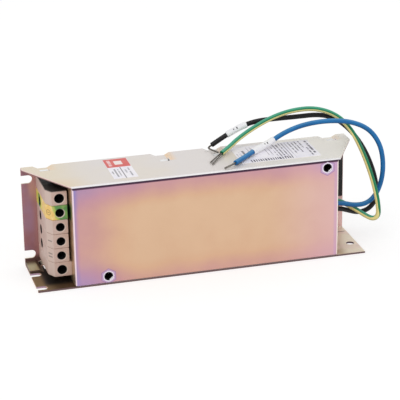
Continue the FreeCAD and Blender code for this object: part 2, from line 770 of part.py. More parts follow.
def slotted(name, screw, x, y, z, radius):
    """Cut a driver slot across a screw's head, which faces the front."""
    slot = box(name + "_slot", (x + " - " + radius + " - 1", y + " - 1", z + " - " + radius + " / 6"),
               (x + " + " + radius + " + 1", y + " + " + radius + " * 0.4", z + " + " + radius + " / 6"))
    return cut(name, screw, [slot])


# Circuit board on four spacers
def board_fixings():
    return [(x, z)
            for x in (BOARD_LEFT + " + board_fix_x", BOARD_RIGHT + " - board_fix_x")
            for z in ("board_low + board_fix_z", BOARD_HIGH + " - board_fix_z")]


def make_board():
    board = box("board_sheet_blank", (BOARD_LEFT, BOARD_FRONT, "board_low"),
                (BOARD_RIGHT, BOARD_BACK, BOARD_HIGH))
    holes = [
        rod("board_hole_%d" % number, "board_screw_radius + thread_clearance", (x, BOARD_FRONT + " - 1", z),
            "board_sheet + 2", "y")
        for number, (x, z) in enumerate(board_fixings())
    ]
    finish(cut("circuit_board", board, holes), "circuit_board")
    spacers, screws = [], []
    for number, (x, z) in enumerate(board_fixings()):
        spacer = rod("spacer_blank_%d" % number, "spacer_radius", (x, BOARD_BACK, z), "board_stand", "y")
        bore = rod("spacer_bore_%d" % number, "spacer_bore", (x, BOARD_BACK + " - 1", z),
                   "board_stand + 2", "y")
        spacers.append(cut("spacer_%d" % number, spacer, [bore]))
        top = BOARD_FRONT + " - board_screw_head_height"
        head = rod("board_screw_head_%d" % number, "board_screw_head", (x, top, z),
                   "board_screw_head_height", "y")
        shank = rod("board_screw_shank_%d" % number, "board_screw_radius", (x, BOARD_FRONT, z),
                    "board_screw_length", "y")
        blank = fuse("board_screw_blank_%d" % number, [head, shank])
        screws.append(slotted("board_screw_%d" % number, blank, x, top, z, "board_screw_head"))
    finish(group("board_spacers", spacers), "board_spacers")
    finish(group("board_screws", screws), "board_screws")


# Ring choke: core, two coils of flat-laid turns, cradle
def make_choke():
    x, z = CHOKE_X, MIDDLE_Z
    clearance = "coil_wire + coil_clearance * 2"
    top = BOARD_FRONT + " - cradle_height - (" + clearance + ") - core_height"
    ring = rod("core_outside", "core_outer", (x, top, z), "core_height", "y")
    hole = rod("core_inside", "core_inner", (x, top + " - 1", z), "core_height + 2", "y")
    finish(cut("choke_core", ring, [hole]), "choke_core")
    cradle = rod("cradle_disc", "cradle_radius", (x, BOARD_FRONT + " - cradle_height", z),
                 "cradle_height", "y")
    centre = rod("cradle_hole", "core_inner - coil_wire * 2", (x, BOARD_FRONT + " - cradle_height - 1", z),
                 "cradle_height + 2", "y")
    finish(cut("choke_cradle", cradle, [centre]), "choke_cradle")
    for node, start in (("choke_coil_line", 0.0), ("choke_coil_neutral", 180.0)):
        piece = doc.addObject("Part::Feature", node)
        piece.Shape = Part.makeCompound(coil_turns(start))
        finish(piece, node)


def board_ends():
    """X of the board's left and right ends."""
    half = size("overall_length") / 2
    return (size("left_reach") + size("board_left") - half,
            half - size("right_reach") - size("board_right"))


def choke_middle():
    """X of the choke's axis, midway between its neighbours."""
    left, right = board_ends()
    before = left + size("x_cap_input") + size("x_cap_length") / 2
    after = right - size("resistor_x") - size("resistor_radius")
    return (before + after) / 2


def coil_turns(start):
    """Turns of one coil: hollow rounded sections swept a few degrees about the core's axis."""
    wire, gap = size("coil_wire"), size("coil_clearance")
    core_back = board_face() - size("cradle_height") - wire - 2 * gap
    core_front = core_back - size("core_height")
    middle_x = choke_middle()
    axis_point = Vector(middle_x, 0, size("overall_height") / 2)
    turns = int(size("coil_turns"))
    pitch = size("coil_sector") / turns
    sweep = math.degrees(wire / (size("core_inner") - gap - wire / 2)) * 0.72
    first = start + 90.0 - size("coil_sector") / 2
    shapes = []
    for turn in range(turns):
        outer = ring_section(middle_x, core_front, core_back, gap + wire, 0.95 * wire)
        inner = ring_section(middle_x, core_front, core_back, gap, gap / 2)
        section = Part.Face(outer).cut(Part.Face(inner)).Faces[0]
        shape = section.revolve(axis_point, Vector(0, 1, 0), sweep)
        shape.rotate(axis_point, Vector(0, 1, 0), first + pitch * (turn + 0.5) - sweep / 2)
        shapes.append(shape)
    return shapes


def ring_section(middle_x, core_front, core_back, grow, radius):
    """Rounded rectangle round the core's section, in the plane above the core's axis."""
    near_axis = size("core_inner") - grow
    far = size("core_outer") + grow
    low, high = core_front - grow, core_back + grow
    z = size("overall_height") / 2
    corners = [
        Vector(middle_x, low, z + near_axis), Vector(middle_x, high, z + near_axis),
        Vector(middle_x, high, z + far), Vector(middle_x, low, z + far),
    ]
    edges = []
    half = radius * (1 - math.sqrt(0.5))
    for index, corner in enumerate(corners):
        before = (corners[index - 1] - corner).normalize()
        after = (corners[(index + 1) % 4] - corner).normalize()
        first, last = corner + before * radius, corner + after * radius
        edges.append(Part.Arc(first, corner + (before + after) * half, last).toShape())
        following = corners[(index + 1) % 4]
        edges.append(Part.LineSegment(last, following - after * radius).toShape())
    return Part.Wire(edges)


# Boxed capacitors stand on the board
def make_capacitor(name, x, z, length, width, height):
    body = doc.addObject("PartDesign::Body", name)
    place(body, (x, "0", z))
    section = outline(body, name + "_section", "XZ_Plane", [
        ("-" + length + " / 2", "-" + width + " / 2"),
        (length + " / 2", "-" + width + " / 2"),
        (length + " / 2", width + " / 2"),
        ("-" + length + " / 2", width + " / 2"),
    ], lift="-" + BOARD_FRONT)
    case = pad(body, name + "_case", section, height)
    base = board_face()
    dress(body, "Fillet", name + "_rounds", case, "cap_round", lambda edge: not near(edge, 1, base))
    return body


def make_capacitors():
    for node, x in (("x_capacitor_input", X_CAP_INPUT_X), ("x_capacitor_output", X_CAP_OUTPUT_X)):
        finish(make_capacitor(node, x, MIDDLE_Z, "x_cap_length", "x_cap_width", "x_cap_height"), node)
    pair = [make_capacitor("y_capacitor_%d" % number, Y_CAP_X, z, "y_cap_length", "y_cap_width",
                           "y_cap_height")
            for number, z in enumerate((MIDDLE_Z + " - y_cap_rise", MIDDLE_Z + " + y_cap_rise"))]
    finish(group("y_capacitors", pair), "y_capacitors")


def make_resistor():
    """Resistor case on one bent wire."""
    x = board_ends()[1] - size("resistor_x")
    y = board_face() - size("resistor_lift")
    half, middle = size("resistor_length") / 2, size("overall_height") / 2
    case = doc.addObject("Part::Feature", "resistor_case")
    case.Shape = Part.makeCylinder(size("resistor_radius"), half * 2,
                                   Vector(x, y, middle - half), Vector(0, 0, 1))
    low, high = (middle + side * (half + size("resistor_reach")) for side in (-1, 1))
    route = [(x, board_face(), low), (x, y, low), (x, y, high), (x, board_face(), high)]
    wire = doc.addObject("Part::Feature", "resistor_wire")
    wire.Shape = tube(route_edges(route, "discharge_resistor"), size("resistor_wire"))
    finish(fuse("discharge_resistor", [case, wire]), "discharge_resistor")


# Grommet in the right end wall
def make_grommet():
    inside = COVER_RIGHT + " - cover_sheet - grommet_gap"
    outside = COVER_RIGHT + " + grommet_gap"
    parts = [
        rod("grommet_inner_lip", "grommet_radius", (inside + " - grommet_inner", "0", "outlet_height"),
            "grommet_inner", "x"),
        rod("grommet_neck", "grommet_waist - grommet_gap", (inside, "0", "outlet_height"),
            "cover_sheet + grommet_gap * 2", "x"),
    ]
    lip = doc.addObject("Part::Cone", "grommet_outer_lip")
    bind(lip, Radius1="grommet_radius", Radius2="grommet_radius - grommet_outer / 2", Height="grommet_outer")
    lip.Placement.Rotation = TURNS["x"]
    place(lip, (outside, "0", "outlet_height"))
    parts.append(lip)
    holes = []
    for name, route in (("line", LINE_ROUTE), ("earth", EARTH_ROUTE), ("neutral", NEUTRAL_ROUTE)):
        y, z = route[0][1:]
        holes.append(rod("grommet_hole_" + name, "lead_radius + lead_clearance",
                         (inside + " - grommet_inner - 1", "%.1f" % y, "%.1f" % z),
                         "cover_sheet + grommet_inner + grommet_outer + 3", "x"))
    finish(cut("lead_grommet", fuse("grommet_blank", parts), holes), "lead_grommet")


# Routes: straight runs joined by tangent arcs
def route_edges(points, name):
    """Edges of a route; each arc is as large as its two runs allow."""
    corners = [Vector(*point) for point in points]
    runs = [(end - start).Length for start, end in zip(corners, corners[1:])]
    edges, radii, start = [], [], corners[0]
    for index in range(1, len(corners) - 1):
        corner = corners[index]
        before = (corners[index - 1] - corner).normalize()
        after = (corners[index + 1] - corner).normalize()
        turn = math.pi - before.getAngle(after)
        tangent = 0.45 * min(runs[index - 1], runs[index])
        radius = tangent / math.tan(turn / 2)
        radii.append(radius)
        first, last = corner + before * tangent, corner + after * tangent
        inward = (before + after).normalize()
        middle = corner + inward * (radius / math.cos(turn / 2) - radius)
        edges.append(Part.LineSegment(start, first).toShape())
        edges.append(Part.Arc(first, middle, last).toShape())
        start = last
    edges.append(Part.LineSegment(start, corners[-1]).toShape())
    print(name, "arc radii", " ".join("%.1f" % radius for radius in radii),
          "length %.1f" % sum(edge.Length for edge in edges))
    return edges


def stretch(edges, start, end):
    """The edges of a route between two distances along it."""
    kept, travelled = [], 0.0
    for edge in edges:
        low = max(start - travelled, 0.0)
        high = min(end - travelled, edge.Length)
        if high - low > 1e-6:
            first = edge.getParameterByLength(low)
            last = edge.getParameterByLength(high)
            kept.append(edge.Curve.toShape(first, last))
        travelled += edge.Length
    return kept


def tube(edges, radius):
    """A round solid along a route."""
    path = Part.Wire(edges)
    start = edges[0].valueAt(edges[0].FirstParameter)
    along = edges[0].tangentAt(edges[0].FirstParameter)
    ring = Part.Wire([Part.Circle(start, along, radius).toShape()])
    solid = path.makePipeShell([ring], True, True, 2)
    expected = math.pi * radius ** 2 * path.Length
    if abs(solid.Volume / expected - 1) > 0.01:
        raise ValueError("tube volume %.1f, expected %.1f" % (solid.Volume, expected))
    return solid


def solid_node(node, shape):
    piece = doc.addObject("Part::Feature", node)
    piece.Shape = shape
    finish(piece, node)


def make_leads():
    radius = size("lead_radius")
    leads = (
        ("line", LINE_ROUTE, size("overall_height") / 2 - size("pad_line_below")),
        ("earth", EARTH_ROUTE, size("overall_height") / 2 + size("pad_earth_above")),
        ("neutral", NEUTRAL_ROUTE, size("pad_neutral_z")),
    )
    pad_x = board_ends()[1] - size("pad_inset")
    outlet_x = size("overall_length") / 2 - size("right_reach") + size("grommet_gap") + size("grommet_outer")
    board = board_face()
    routes = {}
    for name, route, pad_z in leads:
        routes[name] = route_edges(route, "lead_" + name)
        solid_node("lead_" + name, tube(routes[name], radius))
        outlet_y, outlet_z = route[0][1:]
        inner = [
            (pad_x, board, pad_z),
            (pad_x, board - size("pad_rise"), pad_z),
            (outlet_x - size("inner_lead_bend"), outlet_y, outlet_z),
            (outlet_x, outlet_y, outlet_z),
        ]
        solid_node("inner_lead_" + name, tube(route_edges(inner, "inner_lead_" + name), radius))
    for name, span in (("line", LINE_SLEEVE), ("neutral", NEUTRAL_SLEEVE)):
        whole = sum(edge.Length for edge in routes[name])
        edges = stretch(routes[name], whole - span[1], whole - span[0])
        inside = radius + size("sleeve_clearance")
        outer, inner = tube(edges, inside + size("sleeve_wall")), tube(edges, inside)
        solid_node("marker_sleeve_" + name, outer.cut(inner))


def make_conductors():
    for name, tip in (("line", LINE_TIP), ("neutral", NEUTRAL_TIP)):
        edges = route_edges(tip, "conductor_" + name)
        solid_node("conductor_" + name, tube(edges, size("conductor_radius")))
    strands = [tube(route_edges(tip, "conductor_earth"), size("strand_radius")) for tip in EARTH_TIPS]
    solid_node("conductor_earth", Part.makeCompound(strands))


def board_face():
    """Y of the board's front face, on which the components stand."""
    inside = size("overall_depth") / 2 - size("chassis_sheet")
    return inside - size("board_stand") - size("board_sheet")


def make_links():
    """Wires from the clamps through the window to the board, each in a low arch."""
    wall = -size("overall_length") / 2 + size("left_reach")
    clamp_x = wall - size("terminal_wall_gap") - size("screw_inset") + size("clamp_bore")
    entry_y = size("overall_depth") / 2 - size("chassis_sheet") - size("entry_back")
    pitch = (size("overall_height") - size("terminal_low") - size("terminal_head_room")) / 6
    end_x = wall + size("board_left") + size("link_reach")
    crest = entry_y - size("link_arch")
    for node, position in (("link_neutral", 1), ("link_line", 2), ("link_earth", 4)):
        z = size("terminal_low") + pitch * (position + 0.5)
        route = [
            (clamp_x, entry_y, z),
            (wall + size("board_left") / 2, entry_y, z),
            ((wall + size("board_left") / 2 + end_x) / 2, crest, z),
            (end_x, (crest + board_face()) / 2 - size("link_radius"), z),
            (end_x, board_face(), z),
        ]
        solid_node(node, tube(route_edges(route, node), size("link_radius")))


# Labels on the top wall
def make_labels():
    for node, side, start in (
        ("label_left", "left_label", COVER_LEFT + " + left_label_start"),
        ("label_right", "right_label", COVER_RIGHT + " - right_label_end - right_label_length"),
    ):
        finish(box(node, (start, FRONT + " + " + side + "_front", "overall_height"),
                   (start + " + " + side + "_length", FRONT + " + " + side + "_back",
                    "overall_height + label_sheet")), node)


make_chassis()
make_cover()
make_clinch_nuts()
make_liner()
make_terminal_strip()
make_board()
make_choke()
make_capacitors()
make_resistor()
make_grommet()
make_leads()
make_conductors()
make_links()
make_labels()
doc.recompute()

for item in doc.Objects:
    if "Invalid" in item.State or "Error" in item.State:
        raise RuntimeError("%s did not build: %s" % (item.Name, item.State))
for node, item in finished.items():
    if item.Shape.isNull() or not item.Shape.isValid() or not item.Shape.Solids:
        raise RuntimeError("%s has no valid solid" % node)

os.makedirs("parts", exist_ok=True)
for node, item in finished.items():
    item.Shape.exportStep(os.path.join("parts", item.Label + ".step"))
print(len(finished), "nodes written")
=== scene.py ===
import math

import bmesh
import bpy
from mathutils import Matrix, Vector


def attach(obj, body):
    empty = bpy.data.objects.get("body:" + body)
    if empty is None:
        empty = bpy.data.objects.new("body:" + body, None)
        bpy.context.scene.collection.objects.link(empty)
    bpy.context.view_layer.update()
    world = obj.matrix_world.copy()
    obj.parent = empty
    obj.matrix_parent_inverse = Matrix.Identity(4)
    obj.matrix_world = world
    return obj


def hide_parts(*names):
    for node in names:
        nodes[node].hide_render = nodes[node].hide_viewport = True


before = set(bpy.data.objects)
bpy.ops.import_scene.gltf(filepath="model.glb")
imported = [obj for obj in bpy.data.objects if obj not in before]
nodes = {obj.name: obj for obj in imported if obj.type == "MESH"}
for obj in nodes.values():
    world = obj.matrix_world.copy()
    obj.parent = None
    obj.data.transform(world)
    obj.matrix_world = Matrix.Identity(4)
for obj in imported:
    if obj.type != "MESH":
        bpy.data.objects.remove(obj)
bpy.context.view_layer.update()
MM = 0.001
UP = Vector((0, 0, 1))


def mm(points):
    """Points given in millimetres, as vectors in metres."""
    return [Vector(point) * MM for point in points]


# Places on the part, in millimetres as in the CAD source. x runs from the terminal strip to the leads,
# y from the front plate to the back plate and z from the foot to the top wall.
# The front plate's face, the top wall's and the foot's upper faces, and the cover's two ends
FRONT, TOP, FOOT_TOP = -24.5, 72.0, 1.2
COVER_LEFT, COVER_RIGHT = -90.0, 94.0
# Clinch nuts: middle in x and z, reach from that middle, and radius of the thread
NUTS = ((-67.0, 6.0), (86.8, 66.0))
NUT_REACH, THREAD_RADIUS = 6.0, 3.0
# Pressed bridges of the upper bend: middle in x, front edge in y and strength of the painted warm light
# on the flank beside each, and half a bridge's length
PRESSES = ((-100.3, 11.0, 0.6), (-18.5, 6.0, 0.9), (18.5, 6.0, 0.5), (102.3, 11.0, 0.4))
PRESS_HALF = 3.0
# Lit front edge of the two inner bridges: outline in y and z, start from the bridge's middle, length
PRESS_LIP = ((12.0, 69.6), (14.02, 70.2), (14.02, 69.2), (12.0, 69.2))
PRESS_LIP_START, PRESS_LIP_LENGTH = -2.5, 6.1
# Pressed corner of the foot: outline in x and z, stretch in y
FOOT_PRESS = ((-114.9, 1.9), (-114.9, 3.1), (-108.4, 3.1), (-105.0, 1.2), (-107.2, 1.2), (-108.5, 1.9))
FOOT_PRESS_FRONT, FOOT_PRESS_BACK = 6.3, 23.4
# Round hole of the foot: middle in x and y, and radius of its dark wall
FOOT_HOLE_X, FOOT_HOLE_Y, FOOT_HOLE_RADIUS = 110.0, -7.5, 2.85
# Terminal strip: its lowest level and the pitch of its pieces, middle in x and radius of a screw well, how
# much wider the wells of the end pieces are, middle in y and radius of a wire entry
STRIP_LOW, STRIP_PITCH = 5.4, 10.2
WELL_X, WELL_RADIUS, END_WELL_MORE = -96.5, 2.8, 0.35
ENTRY_Y, ENTRY_RADIUS = 11.0, 3.15

# Leads, marker sleeves and bare strands
LEAD_RADIUS = 1.7 * MM
LEAD_RIM = 0.25 * MM
SLEEVE_INNER, SLEEVE_OUTER, SLEEVE_RIM = 1.78 * MM, 2.25 * MM, 0.2 * MM
# Radius of the bundle, radius of a strand, number of strands, length of one twist
COARSE = (0.65 * MM, 0.22 * MM, 7, 9 * MM)
FINE = (0.5 * MM, 0.2 * MM, 5, 12 * MM)
# How much the bundle swells, radians from strand to strand, and radians a millimetre along it
SWELL, SWELL_SHIFT, SWELL_RATE = 0.12, 2.4, 0.5
TUBE_SIDES, STRAND_SIDES = 28, 8
UV_PER_METRE = 100
SAME_PLACE = 1e-6

# Routes of the leads and bare conductors: the points of the CAD source
LINE_ROUTE = mm([
    (97.5, -2.9, 30.4), (105.0, -2.9, 30.4), (114.0, -3.8, 27.8), (123.5, -3.8, 28.1),
    (130.8, -2.6, 33.8), (135.3, -1.2, 44.1), (136.3, -0.3, 57.0), (133.8, 1.0, 70.1),
    (126.0, 2.4, 81.3), (113.0, 4.5, 87.2), (97.5, 7.5, 88.3), (82.0, 10.0, 86.5),
    (68.5, 11.5, 82.0), (55.5, 8.5, 76.2), (42.0, 0.0, 74.6), (32.4, -9.4, 74.15),
    (24.0, -16.9, 74.0),
])
EARTH_ROUTE = mm([
    (97.5, 2.9, 30.4), (104.0, 2.9, 30.4), (110.8, 1.0, 26.8), (116.2, -1.6, 23.6),
    (120.3, -4.2, 20.9), (122.8, -6.4, 19.5), (124.6, -8.1, 18.8), (126.3, -9.4, 18.7),
    (128.0, -10.3, 19.6), (129.1, -10.7, 21.4), (129.5, -10.7, 23.6), (129.4, -10.3, 27.4),
    (128.8, -9.3, 33.6), (127.4, -6.6, 42.6), (125.0, -2.4, 53.6), (121.3, 3.2, 66.4),
    (115.7, 8.5, 79.2), (106.5, 13.0, 89.7), (92.5, 17.0, 94.9), (77.5, 19.5, 94.4),
    (62.3, 19.3, 91.1), (47.8, 17.8, 85.3), (35.0, 14.5, 79.2), (27.0, 9.5, 75.3),
    (20.4, 3.9, 74.0),
])
NEUTRAL_ROUTE = mm([
    (97.5, 0.0, 25.4), (104.0, 0.0, 25.4), (111.8, 2.4, 22.0), (119.3, 3.8, 18.9),
    (126.8, 4.2, 19.9), (132.2, 4.6, 24.8), (134.1, 5.0, 33.9), (132.0, 5.6, 45.5),
    (128.4, 8.4, 57.5), (123.0, 11.2, 68.6), (115.2, 14.4, 79.0), (105.8, 17.8, 86.4),
    (95.0, 20.6, 88.9), (80.0, 22.4, 88.1), (65.0, 22.8, 88.1), (51.0, 22.6, 88.1),
    (39.5, 22.4, 85.2), (27.5, 22.0, 79.5), (18.0, 21.4, 74.1),
])
LINE_TIP = mm([(24.0, -16.9, 74.0), (21.2, -19.4, 73.95), (18.2, -20.8, 73.4), (15.2, -21.5, 72.8)])
NEUTRAL_TIP = mm([(18.0, 21.4, 74.1), (15.72, 21.256, 72.804), (15.6, 18.4, 72.8), (17.4, 14.4, 72.7),
                  (19.6, 9.8, 72.7)])
EARTH_TIPS = [mm([(20.04, 4.32, 74.0), (18.39, 2.92, 73.675), (14.2, -1.6, 73.0), (9.1, -7.9, 72.7)]),
              mm([(20.756, 3.48, 74.0), (19.106, 2.08, 73.675), (14.6, -4.4, 73.0), (9.6, -11.5, 72.6)])]


# Objects
def placed(name, data):
    """A new object in the scene."""
    item = bpy.data.objects.new(name, data)
    bpy.context.scene.collection.objects.link(item)
    return item


def meshed(name, work):
    """An object from a bmesh, which is freed."""
    mesh = bpy.data.meshes.new(name)
    work.to_mesh(mesh)
    work.free()
    return placed(name, mesh)


# Camera, fitted to the photograph
camera = placed("camera", bpy.data.cameras.new("camera"))
camera.data.sensor_width = 36.0
camera.data.lens = 166.25
camera_right = Vector((0.96412, -0.26507, -0.01418))
camera_up = Vector((0.10942, 0.34816, 0.93103))
camera_back = -Vector((0.24185, 0.89918, -0.36467))
camera_turn = Matrix((camera_right, camera_up, camera_back)).transposed().to_4x4()
camera.matrix_world = Matrix.Translation(Vector((-301.4, -1133.8, 503.1)) * MM) @ camera_turn
bpy.context.scene.camera = camera
bpy.context.scene.view_settings.view_transform = "Standard"


# Meshes along a route
def route_points(name, points):
    """Points along a route's NURBS spline, each place once."""
    curve = bpy.data.curves.new(name, "CURVE")
    curve.dimensions = "3D"
    curve.resolution_u = 10
    spline = curve.splines.new("NURBS")
    spline.points.add(len(points) - 1)
    for item, point in zip(spline.points, points):
        item.co = (*point, 1.0)
    spline.order_u = 3
    spline.use_endpoint_u = True
    holder = bpy.data.objects.new(name, curve)
    mesh = bpy.data.meshes.new_from_object(holder)
    found = [vertex.co.copy() for vertex in mesh.vertices]
    bpy.data.objects.remove(holder)
    bpy.data.curves.remove(curve)
    bpy.data.meshes.remove(mesh)
    kept = [found[0]]
    for point in found[1:]:
        if (point - kept[-1]).length > SAME_PLACE:
            kept.append(point)
    return kept


def distances(points):
    """Distance of each point along the line, from its start."""
    total, found = 0.0, [0.0]
    for start, end in zip(points, points[1:]):
        total += (end - start).length
        found.append(total)
    return found


def heading(points, index):
    """Direction of the line at a point, from its neighbours."""
    return (points[min(index + 1, len(points) - 1)] - points[max(index - 1, 0)]).normalized()


def crosswise(points):
    """Two directions across the line at each point, turned as little as the line allows."""
    found, side = [], UP.copy()
    for index in range(len(points)):
        ahead = heading(points, index)
        side = (side - ahead * side.dot(ahead)).normalized()
        found.append((side.copy(), ahead.cross(side)))
    return found


def around(across, angle):
    """The direction at an angle from the first of two directions across a line."""
    return across[0] * math.cos(angle) + across[1] * math.sin(angle)


def between(points, start, end):
    """The stretch of a line between two distances along it."""
    along = distances(points)

    def at(distance):
        for index in range(len(points) - 1):
            if along[index + 1] >= distance:
                share = (distance - along[index]) / (along[index + 1] - along[index])
                return points[index].lerp(points[index + 1], share)
        return points[-1].copy()

    inner = [point for point, travelled in zip(points, along) if start < travelled < end]
    return [at(start)] + inner + [at(end)]


def sweep(name, points, rings, sides=TUBE_SIDES, closed=False):
    """A tube of rings, each (index into points, radius, shift along the line).

    Its uv map holds centimetres along the line and turns round it.
    """
    across, along = crosswise(points), distances(points)
    work = bmesh.new()
    uv = work.loops.layers.uv.new("UVMap")
    made, reach = [], []
    for index, radius, shift in rings:
        centre = points[index] + heading(points, index) * shift
        made.append([work.verts.new(centre + around(across[index], 2 * math.pi * step / sides) * radius)
                     for step in range(sides)])
        reach.append((along[index] + shift) * UV_PER_METRE)
    count = len(made)
    for row in range(count if closed else count - 1):
        following = (row + 1) % count
        for step in range(sides):
            after = (step + 1) % sides
            face = work.faces.new((made[row][step], made[row][after],
                                   made[following][after], made[following][step]))
            face.smooth = True
            corners = ((row, step), (row, step + 1), (following, step + 1), (following, step))
            for loop, (ring, part) in zip(face.loops, corners):
                loop[uv].uv = (reach[ring], part / sides)
    if not closed:
        work.faces.new(made[0][::-1])
        work.faces.new(made[-1])
    bmesh.ops.recalc_face_normals(work, faces=work.faces)
    return meshed(name, work)


def join(name, pieces):
    """One object from several, in the order given."""
    work = bmesh.new()
    for piece in pieces:
        work.from_mesh(piece.data)
        bpy.data.objects.remove(piece)
    return meshed(name, work)


def lead(name, points):
    """An insulated lead with a rounded rim at its stripped end."""
    last = len(points) - 1
    rings = [(index, LEAD_RADIUS, 0.0) for index in range(last)]
    for degrees in (0, 30, 60, 90):
        turn = math.radians(degrees)
        rings.append((last, LEAD_RADIUS - LEAD_RIM * (1 - math.cos(turn)), LEAD_RIM * (math.sin(turn) - 1)))
    return sweep(name, points, rings)


def strands(name, points, bundle, strand, count, pitch):
    """Twisted bare strands: one in the middle and the others round it, a little unevenly."""
    across, along = crosswise(points), distances(points)
    pieces = []
    for number in range(count):
        line = []
        for index, point in enumerate(points):
            angle = 2 * math.pi * (number / (count - 1) + along[index] / pitch)
            swell = 1.0 + SWELL * math.sin(number * SWELL_SHIFT + along[index] / MM * SWELL_RATE)
            reach = 0.0 if number == count - 1 else (bundle - strand) * swell
            line.append(point + around(across[index], angle) * reach)
        rings = [(index, strand, 0.0) for index in range(len(line))]
        pieces.append(sweep("%s_%d" % (name, number), line, rings, STRAND_SIDES))
    return join(name, pieces)


def sleeve(name, points, start, end):
    """A marker sleeve: a thin tube with rounded rims; start and end are distances from the stripped end."""
    length = distances(points)[-1]
    line = between(points, length - start, length - end)
    last = len(line) - 1
    outside = [(0, SLEEVE_INNER, 0.0), (0, SLEEVE_OUTER - SLEEVE_RIM, 0.0), (0, SLEEVE_OUTER, SLEEVE_RIM)]
    outside += [(index, SLEEVE_OUTER, 0.0) for index in range(1, last)]
    outside += [(last, SLEEVE_OUTER, -SLEEVE_RIM), (last, SLEEVE_OUTER - SLEEVE_RIM, 0.0),
                (last, SLEEVE_INNER, 0.0)]
    inside = [(index, SLEEVE_INNER, 0.0) for index in range(last - 1, 0, -1)]
    return sweep(name, line, outside + inside, closed=True)


def pushed(name, ring, shift):
    """A closed piece: a ring of points pushed along a vector, both in millimetres."""
    near = mm(ring)
    count = len(near)
    faces = [tuple(range(count)), tuple(reversed(range(count, 2 * count)))]
    faces += [(i, i + count, (i + 1) % count + count, (i + 1) % count) for i in range(count)]
    work = bmesh.new()
    corners = [work.verts.new(point) for point in near + [point + Vector(shift) * MM for point in near]]
    for face in faces:
        work.faces.new([corners[index] for index in face])
    bmesh.ops.recalc_face_normals(work, faces=work.faces)
    return meshed(name, work)


line_points = route_points("line_route", LINE_ROUTE)
earth_points = route_points("earth_route", EARTH_ROUTE)
neutral_points = route_points("neutral_route", NEUTRAL_ROUTE)
lead_line = lead("lead_blue", line_points)
lead_earth = lead("lead_green_yellow", earth_points)
lead_neutral = lead("lead_black", neutral_points)

# The rear corner of the foot is pressed up, and the inner bridges have a lit front edge
foot_press = pushed("foot_press", [(x, FOOT_PRESS_FRONT, z) for x, z in FOOT_PRESS],
                    (0, FOOT_PRESS_BACK - FOOT_PRESS_FRONT, 0))
press_lips = [pushed(name, [(middle + PRESS_LIP_START, y, z) for y, z in PRESS_LIP], (PRESS_LIP_LENGTH, 0, 0))
              for name, (middle, _, _) in zip(("press_lip_left", "press_lip_right"), PRESSES[1:3])]
for piece in (foot_press, *press_lips):
    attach(piece, "root")

bare_line = strands("bare_end_blue", route_points("line_tip", LINE_TIP), *COARSE)
bare_neutral = strands("bare_end_black", route_points("neutral_tip", NEUTRAL_TIP), *COARSE)
bare_earth = join("bare_end_green_yellow", [
    strands("earth_strands_%d" % number, route_points("earth_tip", tip), *FINE)
    for number, tip in enumerate(EARTH_TIPS)])
sleeve_line = sleeve("sleeve_blue", line_points, 44.6 * MM, 22.7 * MM)
sleeve_neutral = sleeve("sleeve_black", neutral_points, 28.3 * MM, 12.8 * MM)

for piece, node, slot in (
        (lead_line, "lead_line", "blue_insulation"), (lead_earth, "lead_earth", "earth_insulation"),
        (lead_neutral, "lead_neutral", "black_insulation"), (bare_line, "conductor_line", "tinned_copper"),
        (bare_earth, "conductor_earth", "tinned_copper"),
        (bare_neutral, "conductor_neutral", "tinned_copper"),
        (sleeve_line, "marker_sleeve_line", "white_sleeve"),
        (sleeve_neutral, "marker_sleeve_neutral", "white_sleeve")):
    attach(piece, "root")
    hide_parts(node)


# Materials. Colours are written as they show on screen, and places in millimetres.
WHITE = (255, 255, 255)


def rgb(red, green, blue):
    """A colour as it shows on screen, turned into the linear values that shaders take."""
    def linear(value):
        value /= 255
        return value / 12.92 if value <= 0.04045 else ((value + 0.055) / 1.055) ** 2.4
    return (linear(red), linear(green), linear(blue), 1.0)


